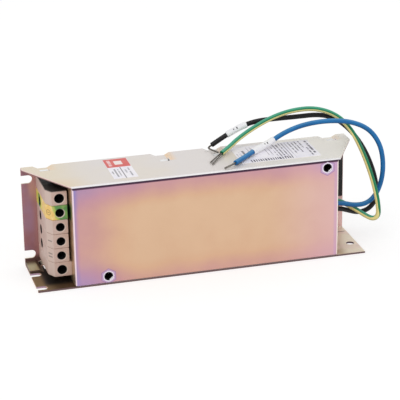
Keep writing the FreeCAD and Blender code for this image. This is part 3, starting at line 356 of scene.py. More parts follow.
class Paint:
    """A material whose nodes are added one call at a time."""

    def __init__(self, name, metal=0.0, rough=0.5, coat=0.0, coat_rough=0.1):
        self.material = bpy.data.materials.new(name)
        self.material.use_nodes = True
        self.tree = self.material.node_tree
        self.shader = self.tree.nodes["Principled BSDF"]
        self.set("Metallic", metal)
        self.set("Roughness", rough)
        self.set("Coat Weight", coat)
        self.set("Coat Roughness", coat_rough)
        coordinates = self.add("ShaderNodeTexCoord").outputs
        self.place, self.uv = coordinates["Object"], coordinates["UV"]
        place = self.split(self.place)
        self.x, self.y, self.z = (self.math("MULTIPLY", place[axis], 1 / MM) for axis in "XYZ")
        normal = self.split(coordinates["Normal"])
        self.nx, self.ny, self.nz = (normal[axis] for axis in "XYZ")

    def give(self, socket, value):
        """Link a node's output to a socket, or set the socket's value."""
        if isinstance(value, bpy.types.NodeSocket):
            self.tree.links.new(value, socket)
        else:
            socket.default_value = value

    def set(self, name, value):
        self.give(self.shader.inputs[name], value)

    def add(self, kind, inputs=None, **settings):
        """A new node with its settings and inputs."""
        item = self.tree.nodes.new(kind)
        for key, value in settings.items():
            setattr(item, key, value)
        for key, value in (inputs or {}).items():
            self.give(item.inputs[key], value)
        return item

    def split(self, vector):
        return self.add("ShaderNodeSeparateXYZ", {"Vector": vector}).outputs

    def math(self, operation, first, second=0.0):
        return self.add("ShaderNodeMath", {0: first, 1: second}, operation=operation).outputs[0]

    def chain(self, operation, values):
        total = values[0]
        for value in values[1:]:
            total = self.math(operation, total, value)
        return total

    def add_up(self, *values):
        return self.chain("ADD", values)

    def times(self, *values):
        return self.chain("MULTIPLY", values)

    def minus(self, first, second):
        return self.math("SUBTRACT", first, second)

    def off(self, value, level):
        """How far a value is from a level, either way."""
        return self.math("ABSOLUTE", self.minus(value, level))

    def far(self, first, first_middle, second, second_middle):
        """Distance from a middle in the plane of two coordinates."""
        across, down = self.minus(first, first_middle), self.minus(second, second_middle)
        return self.math("SQRT", self.add_up(self.times(across, across), self.times(down, down)))

    def fade(self, value, low, high, start=0.0, end=1.0):
        """A smooth step from start to end, as the value goes from low to high."""
        item = self.add("ShaderNodeMapRange", {"Value": value, "From Min": low, "From Max": high,
                                               "To Min": start, "To Max": end},
                        interpolation_type="SMOOTHSTEP")
        return item.outputs[0]

    def noise(self, scale, detail=3.0, rough=0.5, stretch=None, shift=0.0):
        """Noise from 0 to 1 about 0.5; scale is in features a metre."""
        vector = self.place
        if stretch or shift:
            vector = self.add("ShaderNodeMapping", {"Vector": vector, "Scale": stretch or (1, 1, 1),
                                                    "Location": (shift, shift, shift)}).outputs[0]
        return self.add("ShaderNodeTexNoise", {"Vector": vector, "Scale": scale, "Detail": detail,
                                               "Roughness": rough}).outputs["Fac"]

    def mix(self, factor, first, second):
        """Blend two colours, each a node's output or three values as they show on screen."""
        first, second = (rgb(*value) if isinstance(value, tuple) else value for value in (first, second))
        return self.add("ShaderNodeMix", {0: factor, 6: first, 7: second}, data_type="RGBA").outputs[2]

    def frontal(self):
        """1 on faces that look to the front."""
        return self.fade(self.ny, -0.5, -0.9)

    def level(self):
        """1 on faces that look up."""
        return self.fade(self.nz, 0.5, 0.9)

    def leftward(self):
        """1 on faces that look to the left."""
        return self.fade(self.nx, -0.8, -0.95)

    def patches(self, scale, first, second, low=0.35, high=0.65):
        """Two close colours in soft patches."""
        return self.mix(self.fade(self.noise(scale), low, high), first, second)

    def ramp(self, factor, stops):
        """A run of colours, each at its position from 0 to 1."""
        item = self.add("ShaderNodeValToRGB", {"Fac": factor})
        points = item.color_ramp.elements
        while len(points) < len(stops):
            points.new(0.5)
        for point, (position, colour) in zip(points, stops):
            point.position = position
            point.color = rgb(*colour)
        return item.outputs[0]

    def box(self, x0, x1, y0, y1, soft=0.12):
        """1 inside a rectangle of the top plane, 0 outside."""
        return self.times(self.fade(self.x, x0 - soft, x0 + soft),
                          self.fade(self.x, x1 - soft, x1 + soft, 1, 0),
                          self.fade(self.y, y0 - soft, y0 + soft),
                          self.fade(self.y, y1 - soft, y1 + soft, 1, 0))

    def colour(self, value):
        self.set("Base Color", value)

    def rough(self, middle, spread, scale, detail=3.0):
        """Uneven gloss."""
        uneven = self.noise(scale, detail)
        self.set("Roughness", self.fade(uneven, 0.3, 0.7, middle - spread, middle + spread))

    def bump(self, height, depth):
        """Raise the surface by depth (in millimetres) where the height is 1."""
        item = self.add("ShaderNodeBump", {"Height": height, "Strength": 1.0, "Distance": depth * MM})
        self.set("Normal", item.outputs[0])


def plain(name, colour, other, scale, metal=0.0, rough=0.5, coat=0.0):
    """A material with two close colours in patches, uneven gloss and a fine grain."""
    paint = Paint(name, metal, rough, coat)
    paint.colour(paint.patches(scale, colour, other))
    paint.rough(rough, spread=0.08, scale=scale * 1.7)
    paint.bump(paint.noise(600, 4.0, 0.6), depth=0.03)
    return paint.material


def sheet(name, metal, rough):
    """Yellow-chromate steel, finely grained."""
    paint = Paint(name, metal, rough, coat=0.2, coat_rough=0.25)
    paint.rough(rough, spread=0.07, scale=60, detail=5.0)
    grain = paint.add_up(paint.times(paint.noise(900, 2.0, stretch=(0.15, 1, 1)), 0.6),
                         paint.times(paint.noise(2600, 2.0), 0.4))
    paint.bump(grain, depth=0.006)
    return paint


def plate_colours(paint):
    """The front plate: gold in the middle, drifting to pink, lilac and blue towards the edges."""
    drift = paint.add_up(paint.times(paint.noise(16), 0.6),
                         paint.times(paint.noise(60, rough=0.6), 0.4), -0.5)
    low_left = paint.times(paint.fade(paint.z, 26, 2), paint.fade(paint.x, -60, -88))
    high_right = paint.times(paint.fade(paint.z, 56, 71), paint.fade(paint.x, 66, 95))
    high, left = paint.fade(paint.z, 50, 71), paint.fade(paint.x, -36, -90)
    edge = paint.add_up(
        paint.times(high, 0.5), paint.times(left, 0.42), paint.times(high, left, -0.25),
        paint.times(paint.fade(paint.z, 18, 1), 0.3), paint.times(paint.fade(paint.x, -85, -89.6), 0.42),
        paint.times(paint.fade(paint.x, 70, 95), 0.1), paint.times(high_right, 0.4),
        paint.times(drift, 0.4))
    colour = paint.ramp(edge, [
        (0.0, (221, 184, 151)), (0.12, (219, 178, 146)), (0.27, (213, 167, 149)), (0.42, (206, 157, 155)),
        (0.55, (199, 150, 164)), (0.7, (182, 146, 177)), (0.85, (168, 141, 183)), (1.0, (154, 140, 194))])
    colour = paint.mix(paint.times(low_left, 0.5), colour, (180, 150, 196))
    return paint.mix(paint.fade(paint.x, 40, 96, 0.0, 0.6), colour, (224, 180, 190))


def cover_metal():
    """The front cover: its plate, the two end walls and the bends between them."""
    paint = sheet("chromate_cover", 0.85, 0.36)
    colour = plate_colours(paint)
    # A lilac hexagon follows each nut, with a darker line painted as shade round its rim
    for x, z in NUTS:
        side, down = paint.off(paint.x, x), paint.off(paint.z, z)
        flat = paint.math("MAXIMUM", side, paint.add_up(paint.times(side, 0.5), paint.times(down, 0.866)))
        colour = paint.mix(paint.times(paint.fade(flat, 5.2, 4.7), 0.75), colour, (192, 162, 204))
        line = paint.times(paint.fade(flat, 4.5, 4.7), paint.fade(flat, 5.1, 4.9), 0.55)
        colour = paint.mix(line, colour, (136, 96, 140))
    # The left end wall, darker towards the back as painted shade in the gap behind the terminal strip, with a
    # painted green reflection of the earth terminal beside it, and its lit bend
    wall = paint.mix(paint.fade(paint.y, -18, -6), (226, 198, 160), (176, 146, 118))
    # Painted reflection of the green earth terminal on the wall beside it
    beside = paint.times(paint.fade(paint.z, 45.5, 46.8), paint.fade(paint.z, 56.8, 55.5),
                         paint.fade(paint.y, -21, -17))
    wall = paint.mix(beside, wall, (46, 110, 58))
    left = paint.times(paint.leftward(), paint.fade(paint.x, COVER_LEFT + 1.0, COVER_LEFT + 0.5))
    colour = paint.mix(left, colour, wall)
    bend = paint.times(paint.fade(paint.nx, -0.1, -0.4), paint.fade(paint.nx, -0.88, -0.72))
    colour = paint.mix(bend, colour, (246, 222, 228))
    # The right edge of the plate, the right end wall and its lit bend
    lilac = paint.times(paint.fade(paint.x, COVER_RIGHT - 3.0, COVER_RIGHT - 1.4),
                        paint.fade(paint.ny, -0.9, -0.98), 0.45)
    colour = paint.mix(lilac, colour, (198, 160, 204))
    wall = paint.patches(25, (224, 188, 162), (216, 174, 168))
    wall = paint.mix(paint.fade(paint.z, 56, 70), wall, (206, 164, 184))
    right = paint.fade(paint.x, COVER_RIGHT - 1.0, COVER_RIGHT - 0.4)
    colour = paint.mix(paint.times(paint.fade(paint.nx, 0.8, 0.95), right), colour, wall)
    bend = paint.times(paint.fade(paint.nx, 0.1, 0.4), paint.fade(paint.nx, 0.985, 0.9), right)
    colour = paint.mix(bend, colour, (250, 236, 226))
    # The seam under the top wall, painted dark as shade
    seam = paint.times(paint.fade(paint.z, TOP - 2.6, TOP - 2.1), paint.frontal())
    paint.colour(paint.mix(seam, colour, (84, 52, 76)))
    return paint.material


def top_colours(paint):
    """The top wall: warm at its left end and paler to the right, where painted light lifts the leads' shade;
    painted light on the flanks beside the bridges, and painted highlights on the lowered bridges and along
    the front edge.
    """
    top = paint.patches(20, (236, 230, 227), (238, 230, 220))
    top = paint.mix(paint.fade(paint.x, -70, -100, 0.0, 0.8), top, (240, 227, 202))
    front_left = paint.times(paint.fade(paint.x, -72, -104), paint.fade(paint.y, -2, -16), 0.7)
    top = paint.mix(front_left, top, (242, 218, 182))
    # Paler to the right: painted light that lifts the shade the leads cast
    top = paint.mix(paint.fade(paint.x, 30, 90, 0.0, 0.9), top, (255, 251, 242))
    for middle, front, strength in PRESSES:
        left, right = middle - PRESS_HALF, middle + PRESS_HALF
        # Painted warm light on the flank beside each bridge
        flank = paint.times(paint.fade(paint.x, right, right + 0.5),
                            paint.fade(paint.x, right + 7, right + 0.5),
                            paint.fade(paint.y, front, front + 2), strength)
        top = paint.mix(flank, top, (250, 218, 180))
        # Painted highlight on the lowered bridge near its front edge
        low = paint.times(paint.fade(paint.x, left - 0.3, left), paint.fade(paint.x, right + 0.3, right),
                          paint.fade(paint.y, front + 8.5, front + 7.6),
                          paint.fade(paint.z, TOP - 1.4, TOP - 1.6))
        top = paint.mix(low, top, WHITE)
    # Painted highlight along the top wall's front edge
    return paint.mix(paint.fade(paint.y, FRONT + 1.9, FRONT + 1.1), top, (252, 250, 250))


def flange_colours(paint):
    """The back plate beyond the terminal strip: rosy, darker than the front plate partly by its tint and
    partly as painted shade under the top wall, lighter high up on the left, and painted shade near the foot.
    """
    flange = paint.patches(40, (168, 128, 150), (166, 112, 118))
    flange = paint.mix(paint.fade(paint.x, -110, -105), flange, (178, 126, 124))
    high_left = paint.times(paint.fade(paint.z, 44, 58), paint.fade(paint.x, -112, -108))
    flange = paint.mix(high_left, flange, (204, 152, 146))
    return paint.mix(paint.fade(paint.z, 9, 4.5), flange, (112, 78, 74))


def foot_left_colours(paint):
    """The foot beside the terminal strip: khaki, darkening towards the strip as painted shade, and near black
    in the strip's painted shade.
    """
    foot = paint.mix(paint.fade(paint.x, -112, -98), (140, 118, 82), (88, 66, 44))
    shade = paint.times(paint.fade(paint.x, -110.5, -106.5), paint.fade(paint.y, -20, -13))
    return paint.mix(shade, foot, (30, 27, 24))


def foot_right_colours(paint):
    """The foot beyond the right end wall: pale, with painted shade next to the end wall, and a dark line
    along its pressed place.
    """
    foot = paint.mix(paint.fade(paint.x, 97, 106), (212, 192, 160), (254, 242, 218))
    foot = paint.mix(paint.fade(paint.noise(60), 0.45, 0.65), foot, (252, 232, 218))
    line = paint.times(paint.fade(paint.y, 13.7, 14.0), paint.fade(paint.y, 15.0, 14.7),
                       paint.fade(paint.x, 104, 106), paint.fade(paint.x, 114.0, 113.4), 0.8)
    return paint.mix(line, foot, (70, 52, 48))


def chassis_metal():
    """The folded channel: top wall, back plate and foot, then its cut edges and the faces in between."""
    paint = sheet("chromate_chassis", 0.4, 0.46)
    level, frontal = paint.level(), paint.frontal()
    upright = paint.times(paint.fade(paint.nz, 0.5, 0.3), paint.fade(paint.nz, -0.5, -0.3))
    colour = paint.mix(level, paint.patches(18, (220, 184, 150), (208, 164, 152)), top_colours(paint))
    # The back plate beyond the cover's ends
    inner = paint.times(frontal, paint.fade(paint.y, 22, 23))
    colour = paint.mix(paint.times(inner, paint.fade(paint.x, -100, -104)), colour, flange_colours(paint))
    colour = paint.mix(paint.times(inner, paint.fade(paint.x, 94, 96)), colour, (238, 200, 196))
    # The foot beyond the cover's ends, the walls of its hole painted dark as shade, and the walls of its left
    # slot
    foot = paint.times(level, paint.fade(paint.z, FOOT_TOP + 1.8, FOOT_TOP + 0.8))
    left = paint.times(foot, paint.fade(paint.x, COVER_LEFT + 2, COVER_LEFT + 1))
    colour = paint.mix(left, colour, foot_left_colours(paint))
    right = paint.times(foot, paint.fade(paint.x, COVER_RIGHT - 2, COVER_RIGHT - 1))
    colour = paint.mix(right, colour, foot_right_colours(paint))
    hole = paint.far(paint.x, FOOT_HOLE_X, paint.y, FOOT_HOLE_Y)
    hole = paint.times(paint.fade(hole, FOOT_HOLE_RADIUS + 0.1, FOOT_HOLE_RADIUS),
                       paint.fade(paint.z, FOOT_TOP, FOOT_TOP - 0.1))
    colour = paint.mix(hole, colour, (74, 46, 66))
    slot_wall = paint.times(frontal, paint.fade(paint.z, FOOT_TOP + 0.05, FOOT_TOP - 0.05),
                            paint.fade(paint.x, -104, -105), paint.fade(paint.y, FRONT + 0.7, FRONT + 1.3))
    colour = paint.mix(slot_wall, colour, (176, 146, 168))
    # Front edges of the top wall and the foot: a painted highlight along the top wall's upper rim, dark below
    # it and on the foot's edge
    rim = paint.times(paint.fade(paint.ny, -0.4, -0.8), paint.fade(paint.y, FRONT + 0.5, FRONT + 0.2))
    rims = paint.mix(paint.fade(paint.z, TOP - 0.9, TOP - 0.6), (72, 50, 84), (253, 250, 252))
    rims = paint.mix(paint.fade(paint.z, FOOT_TOP + 0.8, FOOT_TOP + 0.6), rims, (104, 78, 80))
    colour = paint.mix(rim, colour, rims)
    # Slanted edges of the ears, pale at the upper rim as a painted highlight and dark below; the bridges'
    # upright faces painted near white as a highlight; and the top wall's underside painted dark as shade
    slanted = paint.times(upright, paint.fade(paint.z, TOP - 2.0, TOP - 1.4),
                          paint.fade(paint.y, FRONT + 0.2, FRONT + 0.5), paint.fade(paint.y, 23.5, 23.0))
    ears = paint.mix(paint.fade(paint.z, TOP - 0.8, TOP - 0.4), (150, 112, 108), (244, 218, 212))
    colour = paint.mix(slanted, colour, ears)
    # Painted highlight on the bridges' upright faces
    bridge = paint.times(upright, paint.fade(paint.y, 5, 5.5), paint.fade(paint.y, 19, 18),
                         paint.fade(paint.z, TOP - 5, TOP - 4), paint.fade(paint.x, -105, -104.2),
                         paint.fade(paint.x, 107, 106.2))
    colour = paint.mix(bridge, colour, (255, 250, 255))
    # Painted shade on the top wall's underside
    below = paint.times(paint.fade(paint.nz, -0.5, -0.9), paint.fade(paint.z, TOP - 2.0, TOP - 1.5))
    paint.colour(paint.mix(below, colour, (74, 60, 52)))
    return paint.material


def press_metal():
    """The foot's pressed corner, khaki on top, with painted shade at its sides, towards the back plate and at
    its right end, and the bridges' front edges painted white as a highlight.
    """
    paint = sheet("chromate_press", 0.3, 0.42)
    # Painted shade on the sides, and on the top towards the back plate and the right end
    sides = paint.patches(120, (96, 70, 56), (80, 58, 48))
    khaki = paint.mix(paint.fade(paint.y, 14, 22), (186, 174, 132), (112, 92, 74))
    khaki = paint.mix(paint.fade(paint.x, -108.6, -107.4), khaki, (96, 74, 56))
    colour = paint.mix(paint.fade(paint.nz, 0.4, 0.7), sides, khaki)
    # The bridges' lit front edges: a painted white highlight
    paint.colour(paint.mix(paint.fade(paint.z, 60, 61), colour, WHITE))
    return paint.material


def nut_metal():
    """The clinch nuts: a pale face round the thread, painted dark inside as shade, with a painted highlight
    at its lower right.
    """
    paint = Paint("chromate_nut", 0.6, 0.3)
    colour = paint.patches(80, (212, 196, 218), (196, 176, 206))
    for x, z in NUTS:
        reach = paint.far(paint.x, x, paint.z, z)
        near = paint.fade(reach, NUT_REACH, NUT_REACH - 0.1)
        pale = paint.times(near, paint.fade(reach, THREAD_RADIUS, THREAD_RADIUS + 0.1),
                           paint.fade(reach, THREAD_RADIUS + 0.8, THREAD_RADIUS + 0.6))
        colour = paint.mix(pale, colour, (240, 232, 244))
        # Painted highlight at the thread's lower right, and painted shade inside it
        slope = paint.minus(paint.minus(paint.x, x), paint.minus(paint.z, z))
        lit = paint.times(paint.fade(slope, 3.1, 3.5), paint.fade(paint.y, FRONT + 1.3, FRONT + 1.0))
        inside = paint.times(near, paint.fade(reach, THREAD_RADIUS + 0.1, THREAD_RADIUS),
                             paint.fade(paint.y, FRONT + 0.1, FRONT + 0.2))
        colour = paint.mix(inside, colour, paint.mix(lit, (26, 22, 24), WHITE))
    paint.colour(colour)
    paint.rough(0.3, spread=0.06, scale=200)
    thread = paint.math("SINE", paint.times(paint.y, 2 * math.pi))
    paint.bump(paint.times(thread, 0.5), depth=0.3)
    return paint.material


def earth_colours(paint, height, bevel):
    """The earth terminal: yellow in front, green behind, with a plain ring and a bar on its bevel."""
    yellow = paint.patches(200, (252, 222, 146), (248, 204, 116), 0.4, 0.6)
    green = paint.patches(200, (132, 174, 92), (96, 150, 80), 0.4, 0.6)
    split = paint.add_up(paint.x, paint.times(paint.noise(220), 5.0), paint.times(height, 0.35))
    middle = paint.mix(paint.fade(split, -98.8, -96.6), yellow, (186, 200, 96))
    colour = paint.mix(paint.fade(split, -96.4, -94.4), middle, green)
    side = paint.mix(paint.fade(paint.y, 2, 7), yellow, (226, 220, 96))
    stripe = paint.times(paint.fade(paint.y, 9, 10.5), paint.fade(paint.y, 16.5, 15))
    side = paint.mix(stripe, side, (40, 132, 62))
    colour = paint.mix(paint.leftward(), colour, side)
    reach = paint.far(paint.y, -11.2, height, 0.0)
    ring = paint.times(paint.fade(reach, 2.1, 1.95), paint.fade(reach, 1.45, 1.6))
    bar = paint.times(paint.fade(reach, 1.2, 1.05), paint.fade(paint.off(height, 0.0), 0.35, 0.2))
    return paint.mix(paint.times(bevel, paint.math("MAXIMUM", ring, bar)), colour, (84, 62, 40))


def moulding(name, earth=False, end=False, marks=()):
    """Terminal moulding: the wells, the wire entries and the end pieces' tops are painted dark as shade, the
    bevel is painted lighter where it faces the light, and the wells' lower right rims have a painted
    highlight.

    marks are the heights of plain bars on the bevel, from the middle of the piece.
    """
    paint = Paint(name)
    paint.rough(0.5, spread=0.06, scale=300)
    grain = paint.add_up(paint.times(paint.noise(1500), 0.5), paint.times(paint.noise(300), 0.5))
    paint.bump(grain, depth=0.012)
    colour = paint.patches(110, (212, 184, 172), (206, 176, 164))
    # The bevel is painted lighter, as it faces the light
    slanted = paint.fade(paint.nx, -0.95, -0.8)
    colour = paint.mix(paint.times(paint.fade(paint.nx, -0.5, -0.68), slanted), colour, (222, 199, 187))
    height = paint.math("FLOORED_MODULO", paint.minus(paint.z, STRIP_LOW), STRIP_PITCH)
    height = paint.minus(height, STRIP_PITCH / 2)
    bevel = paint.times(paint.fade(paint.nx, -0.3, -0.6), slanted)
    for mark in marks:
        bar = paint.times(bevel, paint.fade(paint.off(height, mark), 0.6, 0.35),
                          paint.fade(paint.y, -13.3, -13.0), paint.fade(paint.y, -9.5, -9.8))
        colour = paint.mix(bar, colour, (62, 52, 50))
    if earth:
        colour = earth_colours(paint, height, bevel)
    radius = WELL_RADIUS + (END_WELL_MORE if end else 0.0)
    # Painted highlight on each well's lower right rim
    rim = paint.far(paint.x, WELL_X + 0.3, height, -0.3)
    rim = paint.times(paint.fade(paint.y, -14.2, -14.45), paint.fade(rim, radius + 0.6, radius + 0.35))
    colour = paint.mix(rim, colour, (228, 208, 197))
    # Painted shade inside each well
    well = paint.far(paint.x, WELL_X, height, 0.0)
    colour = paint.mix(paint.fade(well, radius + 0.3, radius + 0.15), colour, (20, 19, 20))
    if end:
        # The end pieces' tops, painted dark as shade under the top wall
        top = paint.times(paint.level(), paint.fade(paint.z, TOP - 6, TOP - 5.7))
        colour = paint.mix(top, colour, (40, 33, 29))
    else:
        # Painted shade inside the wire entries
        entry = paint.far(paint.y, ENTRY_Y, height, 0.0)
        entry = paint.times(paint.fade(entry, ENTRY_RADIUS + 0.15, ENTRY_RADIUS),
                            paint.fade(paint.x, -94, -95))
        colour = paint.mix(entry, colour, (26, 22, 22))
    paint.colour(colour)
    return paint.material


def insulation(name, colour, other, sheen_colour, stripe=None):
    """A lead's insulation, with a painted sheen above and painted shade below, and a stripe that winds a
    little.
    """
    paint = Paint(name, rough=0.38)
    paint.set("Specular IOR Level", 0.3)
    shade = paint.patches(120, colour, other)
    # Painted sheen on the upper side
    shade = paint.mix(paint.fade(paint.nz, 0.3, 0.95, 0.0, 0.5), shade, sheen_colour)
    if stripe:
        wrapped = paint.split(paint.uv)
        middle = paint.fade(wrapped["X"], 3.1, 4.6, 0.38, 0.14)
        turned = paint.math("FRACT", paint.add_up(paint.minus(wrapped["Y"], middle), 1.5))
        shade = paint.mix(paint.fade(paint.off(turned, 0.5), 0.175, 0.155), shade, stripe)
    # Painted shade on the underside
    paint.colour(paint.mix(paint.fade(paint.nz, 0.1, -0.9, 0.0, 0.45), shade, (12, 14, 18)))
    paint.rough(0.38, spread=0.08, scale=300)
    grain = paint.add_up(paint.times(paint.noise(250, 2.0), 0.7), paint.times(paint.noise(1800), 0.3))
    paint.bump(grain, depth=0.02)
    return paint.material


def sleeve_film():
    """White sleeve with two small ticks."""
    paint = Paint("sleeve", rough=0.4)
    wrapped = paint.split(paint.uv)
    along, turned = wrapped["X"], wrapped["Y"]
    colour = paint.patches(200, (250, 250, 250), (242, 242, 246))
    width, soft = 0.11, 0.02
    for start, low, high in ((0.66, 0.80, 0.93), (0.90, 0.84, 0.92)):
        tick = paint.times(paint.fade(along, start, start + soft),
                           paint.fade(along, start + width, start + width - soft),
                           paint.fade(turned, low, low + soft), paint.fade(turned, high, high - soft))
        colour = paint.mix(tick, colour, (44, 44, 48))
    paint.colour(colour)
    paint.rough(0.4, spread=0.06, scale=300)
    paint.bump(paint.noise(700, 4.0, 0.6), depth=0.02)
    return paint.material


def label(name):
    """Label film, white, with room for print."""
    paint = Paint(name, rough=0.4)
    paint.rough(0.4, spread=0.05, scale=300)
    paint.bump(paint.noise(900), depth=0.01)
    return paint, paint.patches(150, (253, 250, 255), (246, 243, 252))


def lines(paint, colour, columns, ink):
    """Columns of print-like dashes that run from front to back: (x, width, y0, y1, dash, strength)."""
    for x, width, y0, y1, dash, strength in columns:
        broken = paint.fade(paint.noise(700 / dash, 2.0, 0.6, (0.02, 1, 0.02), x), 0.36, 0.5)
        column = paint.times(paint.box(x, x + width, y0, y1, 0.1), broken, strength)
        colour = paint.mix(column, colour, ink)
    return colour


def left_label():
    """Grey dashes, a rule, and a red field with pale shapes."""
    paint, colour = label("label_film_left")
    colour = lines(paint, colour, [
        (-58.2, 1.0, -11.5, -3.5, 3.0, 0.8), (-56.2, 1.2, -14.5, 0.5, 2.2, 0.85),
        (-53.9, 1.0, -15.0, 0.0, 2.6, 0.7), (-49.2, 1.2, -10.0, -2.0, 2.4, 0.8),
        (-46.6, 1.1, -14.5, 1.0, 2.2, 0.8)], (150, 148, 154))
    colour = paint.mix(paint.box(-51.4, -50.7, -17.5, 3.4, 0.1), colour, (140, 136, 142))
    red = paint.patches(120, (222, 92, 88), (230, 108, 100))
    colour = paint.mix(paint.box(-59.3, -43.1, 3.9, 19.9, 0.15), colour, red)
    pale = paint.fade(paint.noise(500, 2.0, stretch=(1, 0.5, 1)), 0.4, 0.6, 0.5, 0.9)
    colour = paint.mix(paint.times(paint.box(-57.4, -55.2, 6.4, 18.0, 0.25), pale), colour, (250, 214, 214))
    paint.colour(paint.mix(paint.box(-53.0, -47.6, 8.6, 15.6, 0.15), colour, (252, 240, 236)))
    return paint.material


def right_label():
    """Columns of dark and grey dashes, and a row of plain bars."""
    paint, colour = label("label_film_right")
    dark, grey = (72, 66, 80), (128, 122, 136)
    colour = lines(paint, colour, [
        (82.6, 1.5, -9.0, 16.5, 1.6, 0.95), (80.2, 1.1, -12.5, 3.0, 1.8, 0.9),
        (78.2, 1.0, 3.0, 16.5, 1.5, 0.8), (75.4, 0.9, -5.0, 16.5, 1.8, 0.85),
        (73.0, 0.9, -3.0, 15.0, 1.7, 0.8), (70.6, 0.9, -7.0, 16.0, 1.9, 0.8),
        (63.6, 0.9, -12.5, 16.0, 1.6, 0.85), (61.2, 1.0, -11.0, 14.0, 1.6, 0.9),
        (59.0, 0.9, -9.0, 15.0, 1.8, 0.8), (35.4, 1.6, -6.0, 9.0, 1.6, 0.8),
        (32.8, 1.2, -9.0, 7.0, 1.6, 0.7)], dark)
    colour = lines(paint, colour, [
        (68.2, 0.5, -14.0, 16.5, 40.0, 0.8), (65.8, 0.8, -10.0, 16.0, 2.0, 0.8),
        (56.8, 0.8, -8.0, 12.0, 2.0, 0.8), (54.2, 0.7, -5.0, 10.0, 2.4, 0.7),
        (51.6, 0.7, -4.0, 9.0, 2.4, 0.6), (42.6, 0.8, 6.0, 15.0, 2.4, 0.6),
        (40.0, 0.8, 4.0, 15.0, 2.4, 0.6), (30.6, 0.8, -12.0, 4.0, 2.0, 0.6)], grey)
    pitch = 1.7
    uneven = paint.times(paint.noise(400, 1.0, stretch=(1, 0.01, 0.01)), 6.0)
    bars = paint.math("SINE", paint.add_up(paint.times(paint.x, 2 * math.pi / pitch), uneven))
    bars = paint.times(paint.box(36.0, 66.5, -14.4, -10.0, 0.15), paint.fade(bars, -0.35, 0.15), 0.95)
    paint.colour(paint.mix(bars, colour, dark))
    return paint.material


def wear(material, names=(), pieces=()):
    """Give a material to CAD nodes by name, and to this script's own pieces."""
    for name in names:
        for item in nodes[name].material_slots:
            item.material = material
    for piece in pieces:
        piece.data.materials.append(material)


# The case, its nuts and its insulating sheet
wear(chassis_metal(), ["chassis"])
wear(cover_metal(), ["front_cover"])
wear(nut_metal(), ["clinch_nuts"])
wear(press_metal(), pieces=[foot_press, *press_lips])
wear(plain("black_film", (14, 13, 14), (20, 19, 20), 60, rough=0.45), ["insulating_liner"])
# The terminal strip
wear(moulding("moulding_end", end=True), ["terminal_end_low", "terminal_end_high"])
wear(moulding("moulding_neutral", marks=(-1.1, 1.1)), ["terminal_neutral"])
wear(moulding("moulding_line", marks=(0.0,)), ["terminal_line"])
wear(moulding("moulding_spare"), ["terminal_spare"])
wear(moulding("moulding_earth", earth=True), ["terminal_earth"])
wear(plain("brass", (196, 160, 100), (180, 146, 92), 200, metal=1.0, rough=0.35), ["terminal_clamps"])
wear(plain("steel", (176, 176, 178), (160, 160, 164), 200, metal=1.0, rough=0.35),
     ["terminal_screws", "strip_fixing_screws", "board_spacers", "board_screws"])
# Inside the case
wear(plain("laminate", (120, 110, 60), (110, 100, 56), 60, rough=0.4), ["circuit_board"])
wear(plain("ferrite", (60, 62, 60), (48, 50, 50), 200, rough=0.6), ["choke_core"])
wear(plain("black_moulding", (34, 34, 36), (42, 42, 44), 100), ["choke_cradle"])
wear(plain("copper", (176, 96, 56), (160, 84, 48), 300, metal=0.6, rough=0.3, coat=0.5),
     ["choke_coil_line", "choke_coil_neutral"])
wear(plain("capacitor", (206, 168, 60), (196, 158, 54), 60, rough=0.4),
     ["x_capacitor_input", "x_capacitor_output"])
wear(plain("small_capacitor", (60, 100, 160), (54, 92, 150), 60, rough=0.4), ["y_capacitors"])
wear(plain("resistor", (190, 160, 120), (180, 150, 110), 60, rough=0.4), ["discharge_resistor"])
# Leads and labels
wear(plain("rubber", (32, 32, 33), (40, 39, 40), 150, rough=0.55), ["lead_grommet"])
wear(insulation("blue_insulation", (22, 112, 176), (16, 100, 162), (92, 160, 208)),
     ["inner_lead_line", "link_line"], [lead_line])
wear(insulation("earth_insulation", (20, 130, 86), (14, 118, 78), (112, 208, 180), (240, 228, 152)),
     ["inner_lead_earth", "link_earth"], [lead_earth])
wear(insulation("black_insulation", (18, 17, 19), (25, 24, 26), (30, 29, 31)),
     ["inner_lead_neutral", "link_neutral"], [lead_neutral])
wear(plain("tinned", (150, 146, 140), (120, 114, 108), 900, metal=1.0, rough=0.35),
     pieces=[bare_line, bare_earth, bare_neutral])
wear(sleeve_film(), pieces=[sleeve_line, sleeve_neutral])
wear(left_label(), ["label_left"])
wear(right_label(), ["label_right"])


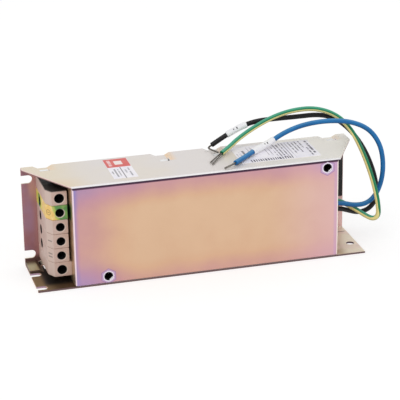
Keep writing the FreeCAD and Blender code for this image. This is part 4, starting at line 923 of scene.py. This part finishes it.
# Floor, light and background
def seen_strength(tree, unseen, seen):
    """A strength for light, with a value of its own where the camera or a gloss sees it."""
    path = tree.nodes.new("ShaderNodeLightPath")
    either = tree.nodes.new("ShaderNodeMath")
    either.operation = "MAXIMUM"
    tree.links.new(path.outputs["Is Camera Ray"], either.inputs[0])
    tree.links.new(path.outputs["Is Glossy Ray"], either.inputs[1])
    strength = tree.nodes.new("ShaderNodeMapRange")
    strength.inputs["To Min"].default_value = unseen
    strength.inputs["To Max"].default_value = seen
    tree.links.new(either.outputs[0], strength.inputs["Value"])
    return strength.outputs[0]


world = bpy.data.worlds.new("studio")
bpy.context.scene.world = world
world.use_nodes = True
tree = world.node_tree
tree.nodes.clear()
sky = tree.nodes.new("ShaderNodeBackground")
tree.links.new(seen_strength(tree, unseen=0.9, seen=1.0), sky.inputs["Strength"])
output = tree.nodes.new("ShaderNodeOutputWorld")
tree.links.new(sky.outputs[0], output.inputs[0])

FLOOR_HALF, FLOOR_DROP = 4, 0.0002
floor_mesh = bpy.data.meshes.new("floor")
floor_mesh.from_pydata([(x * FLOOR_HALF, y * FLOOR_HALF, 0) for x, y in ((-1, -1), (1, -1), (1, 1), (-1, 1))],
                       [], [(0, 1, 2, 3)])
floor = placed("floor", floor_mesh)
floor.location.z = -FLOOR_DROP
floor_paint = bpy.data.materials.new("floor")
floor_paint.use_nodes = True
tree = floor_paint.node_tree
shader = tree.nodes["Principled BSDF"]
shader.inputs["Base Color"].default_value = (0.5, 0.5, 0.5, 1)
shader.inputs["Roughness"].default_value = 1.0
shader.inputs["Specular IOR Level"].default_value = 0.0
shader.inputs["Emission Color"].default_value = (1, 1, 1, 1)
tree.links.new(seen_strength(tree, unseen=0.3, seen=0.6), shader.inputs["Emission Strength"])
floor_mesh.materials.append(floor_paint)

LAMP_TARGET = Vector((0, 0, 0.04))


def lamp(name, place, size, power):
    """A round area lamp that points at the part."""
    light = bpy.data.lights.new(name, "AREA")
    light.shape = "DISK"
    light.size = size
    light.energy = power
    item = placed(name, light)
    item.location = place
    item.rotation_euler = (LAMP_TARGET - Vector(place)).to_track_quat("-Z", "Y").to_euler()


lamp("key", (-0.7, -1.0, 1.5), size=1.2, power=6.5)
lamp("fill", (1.2, -0.9, 0.8), size=1.0, power=2.5)
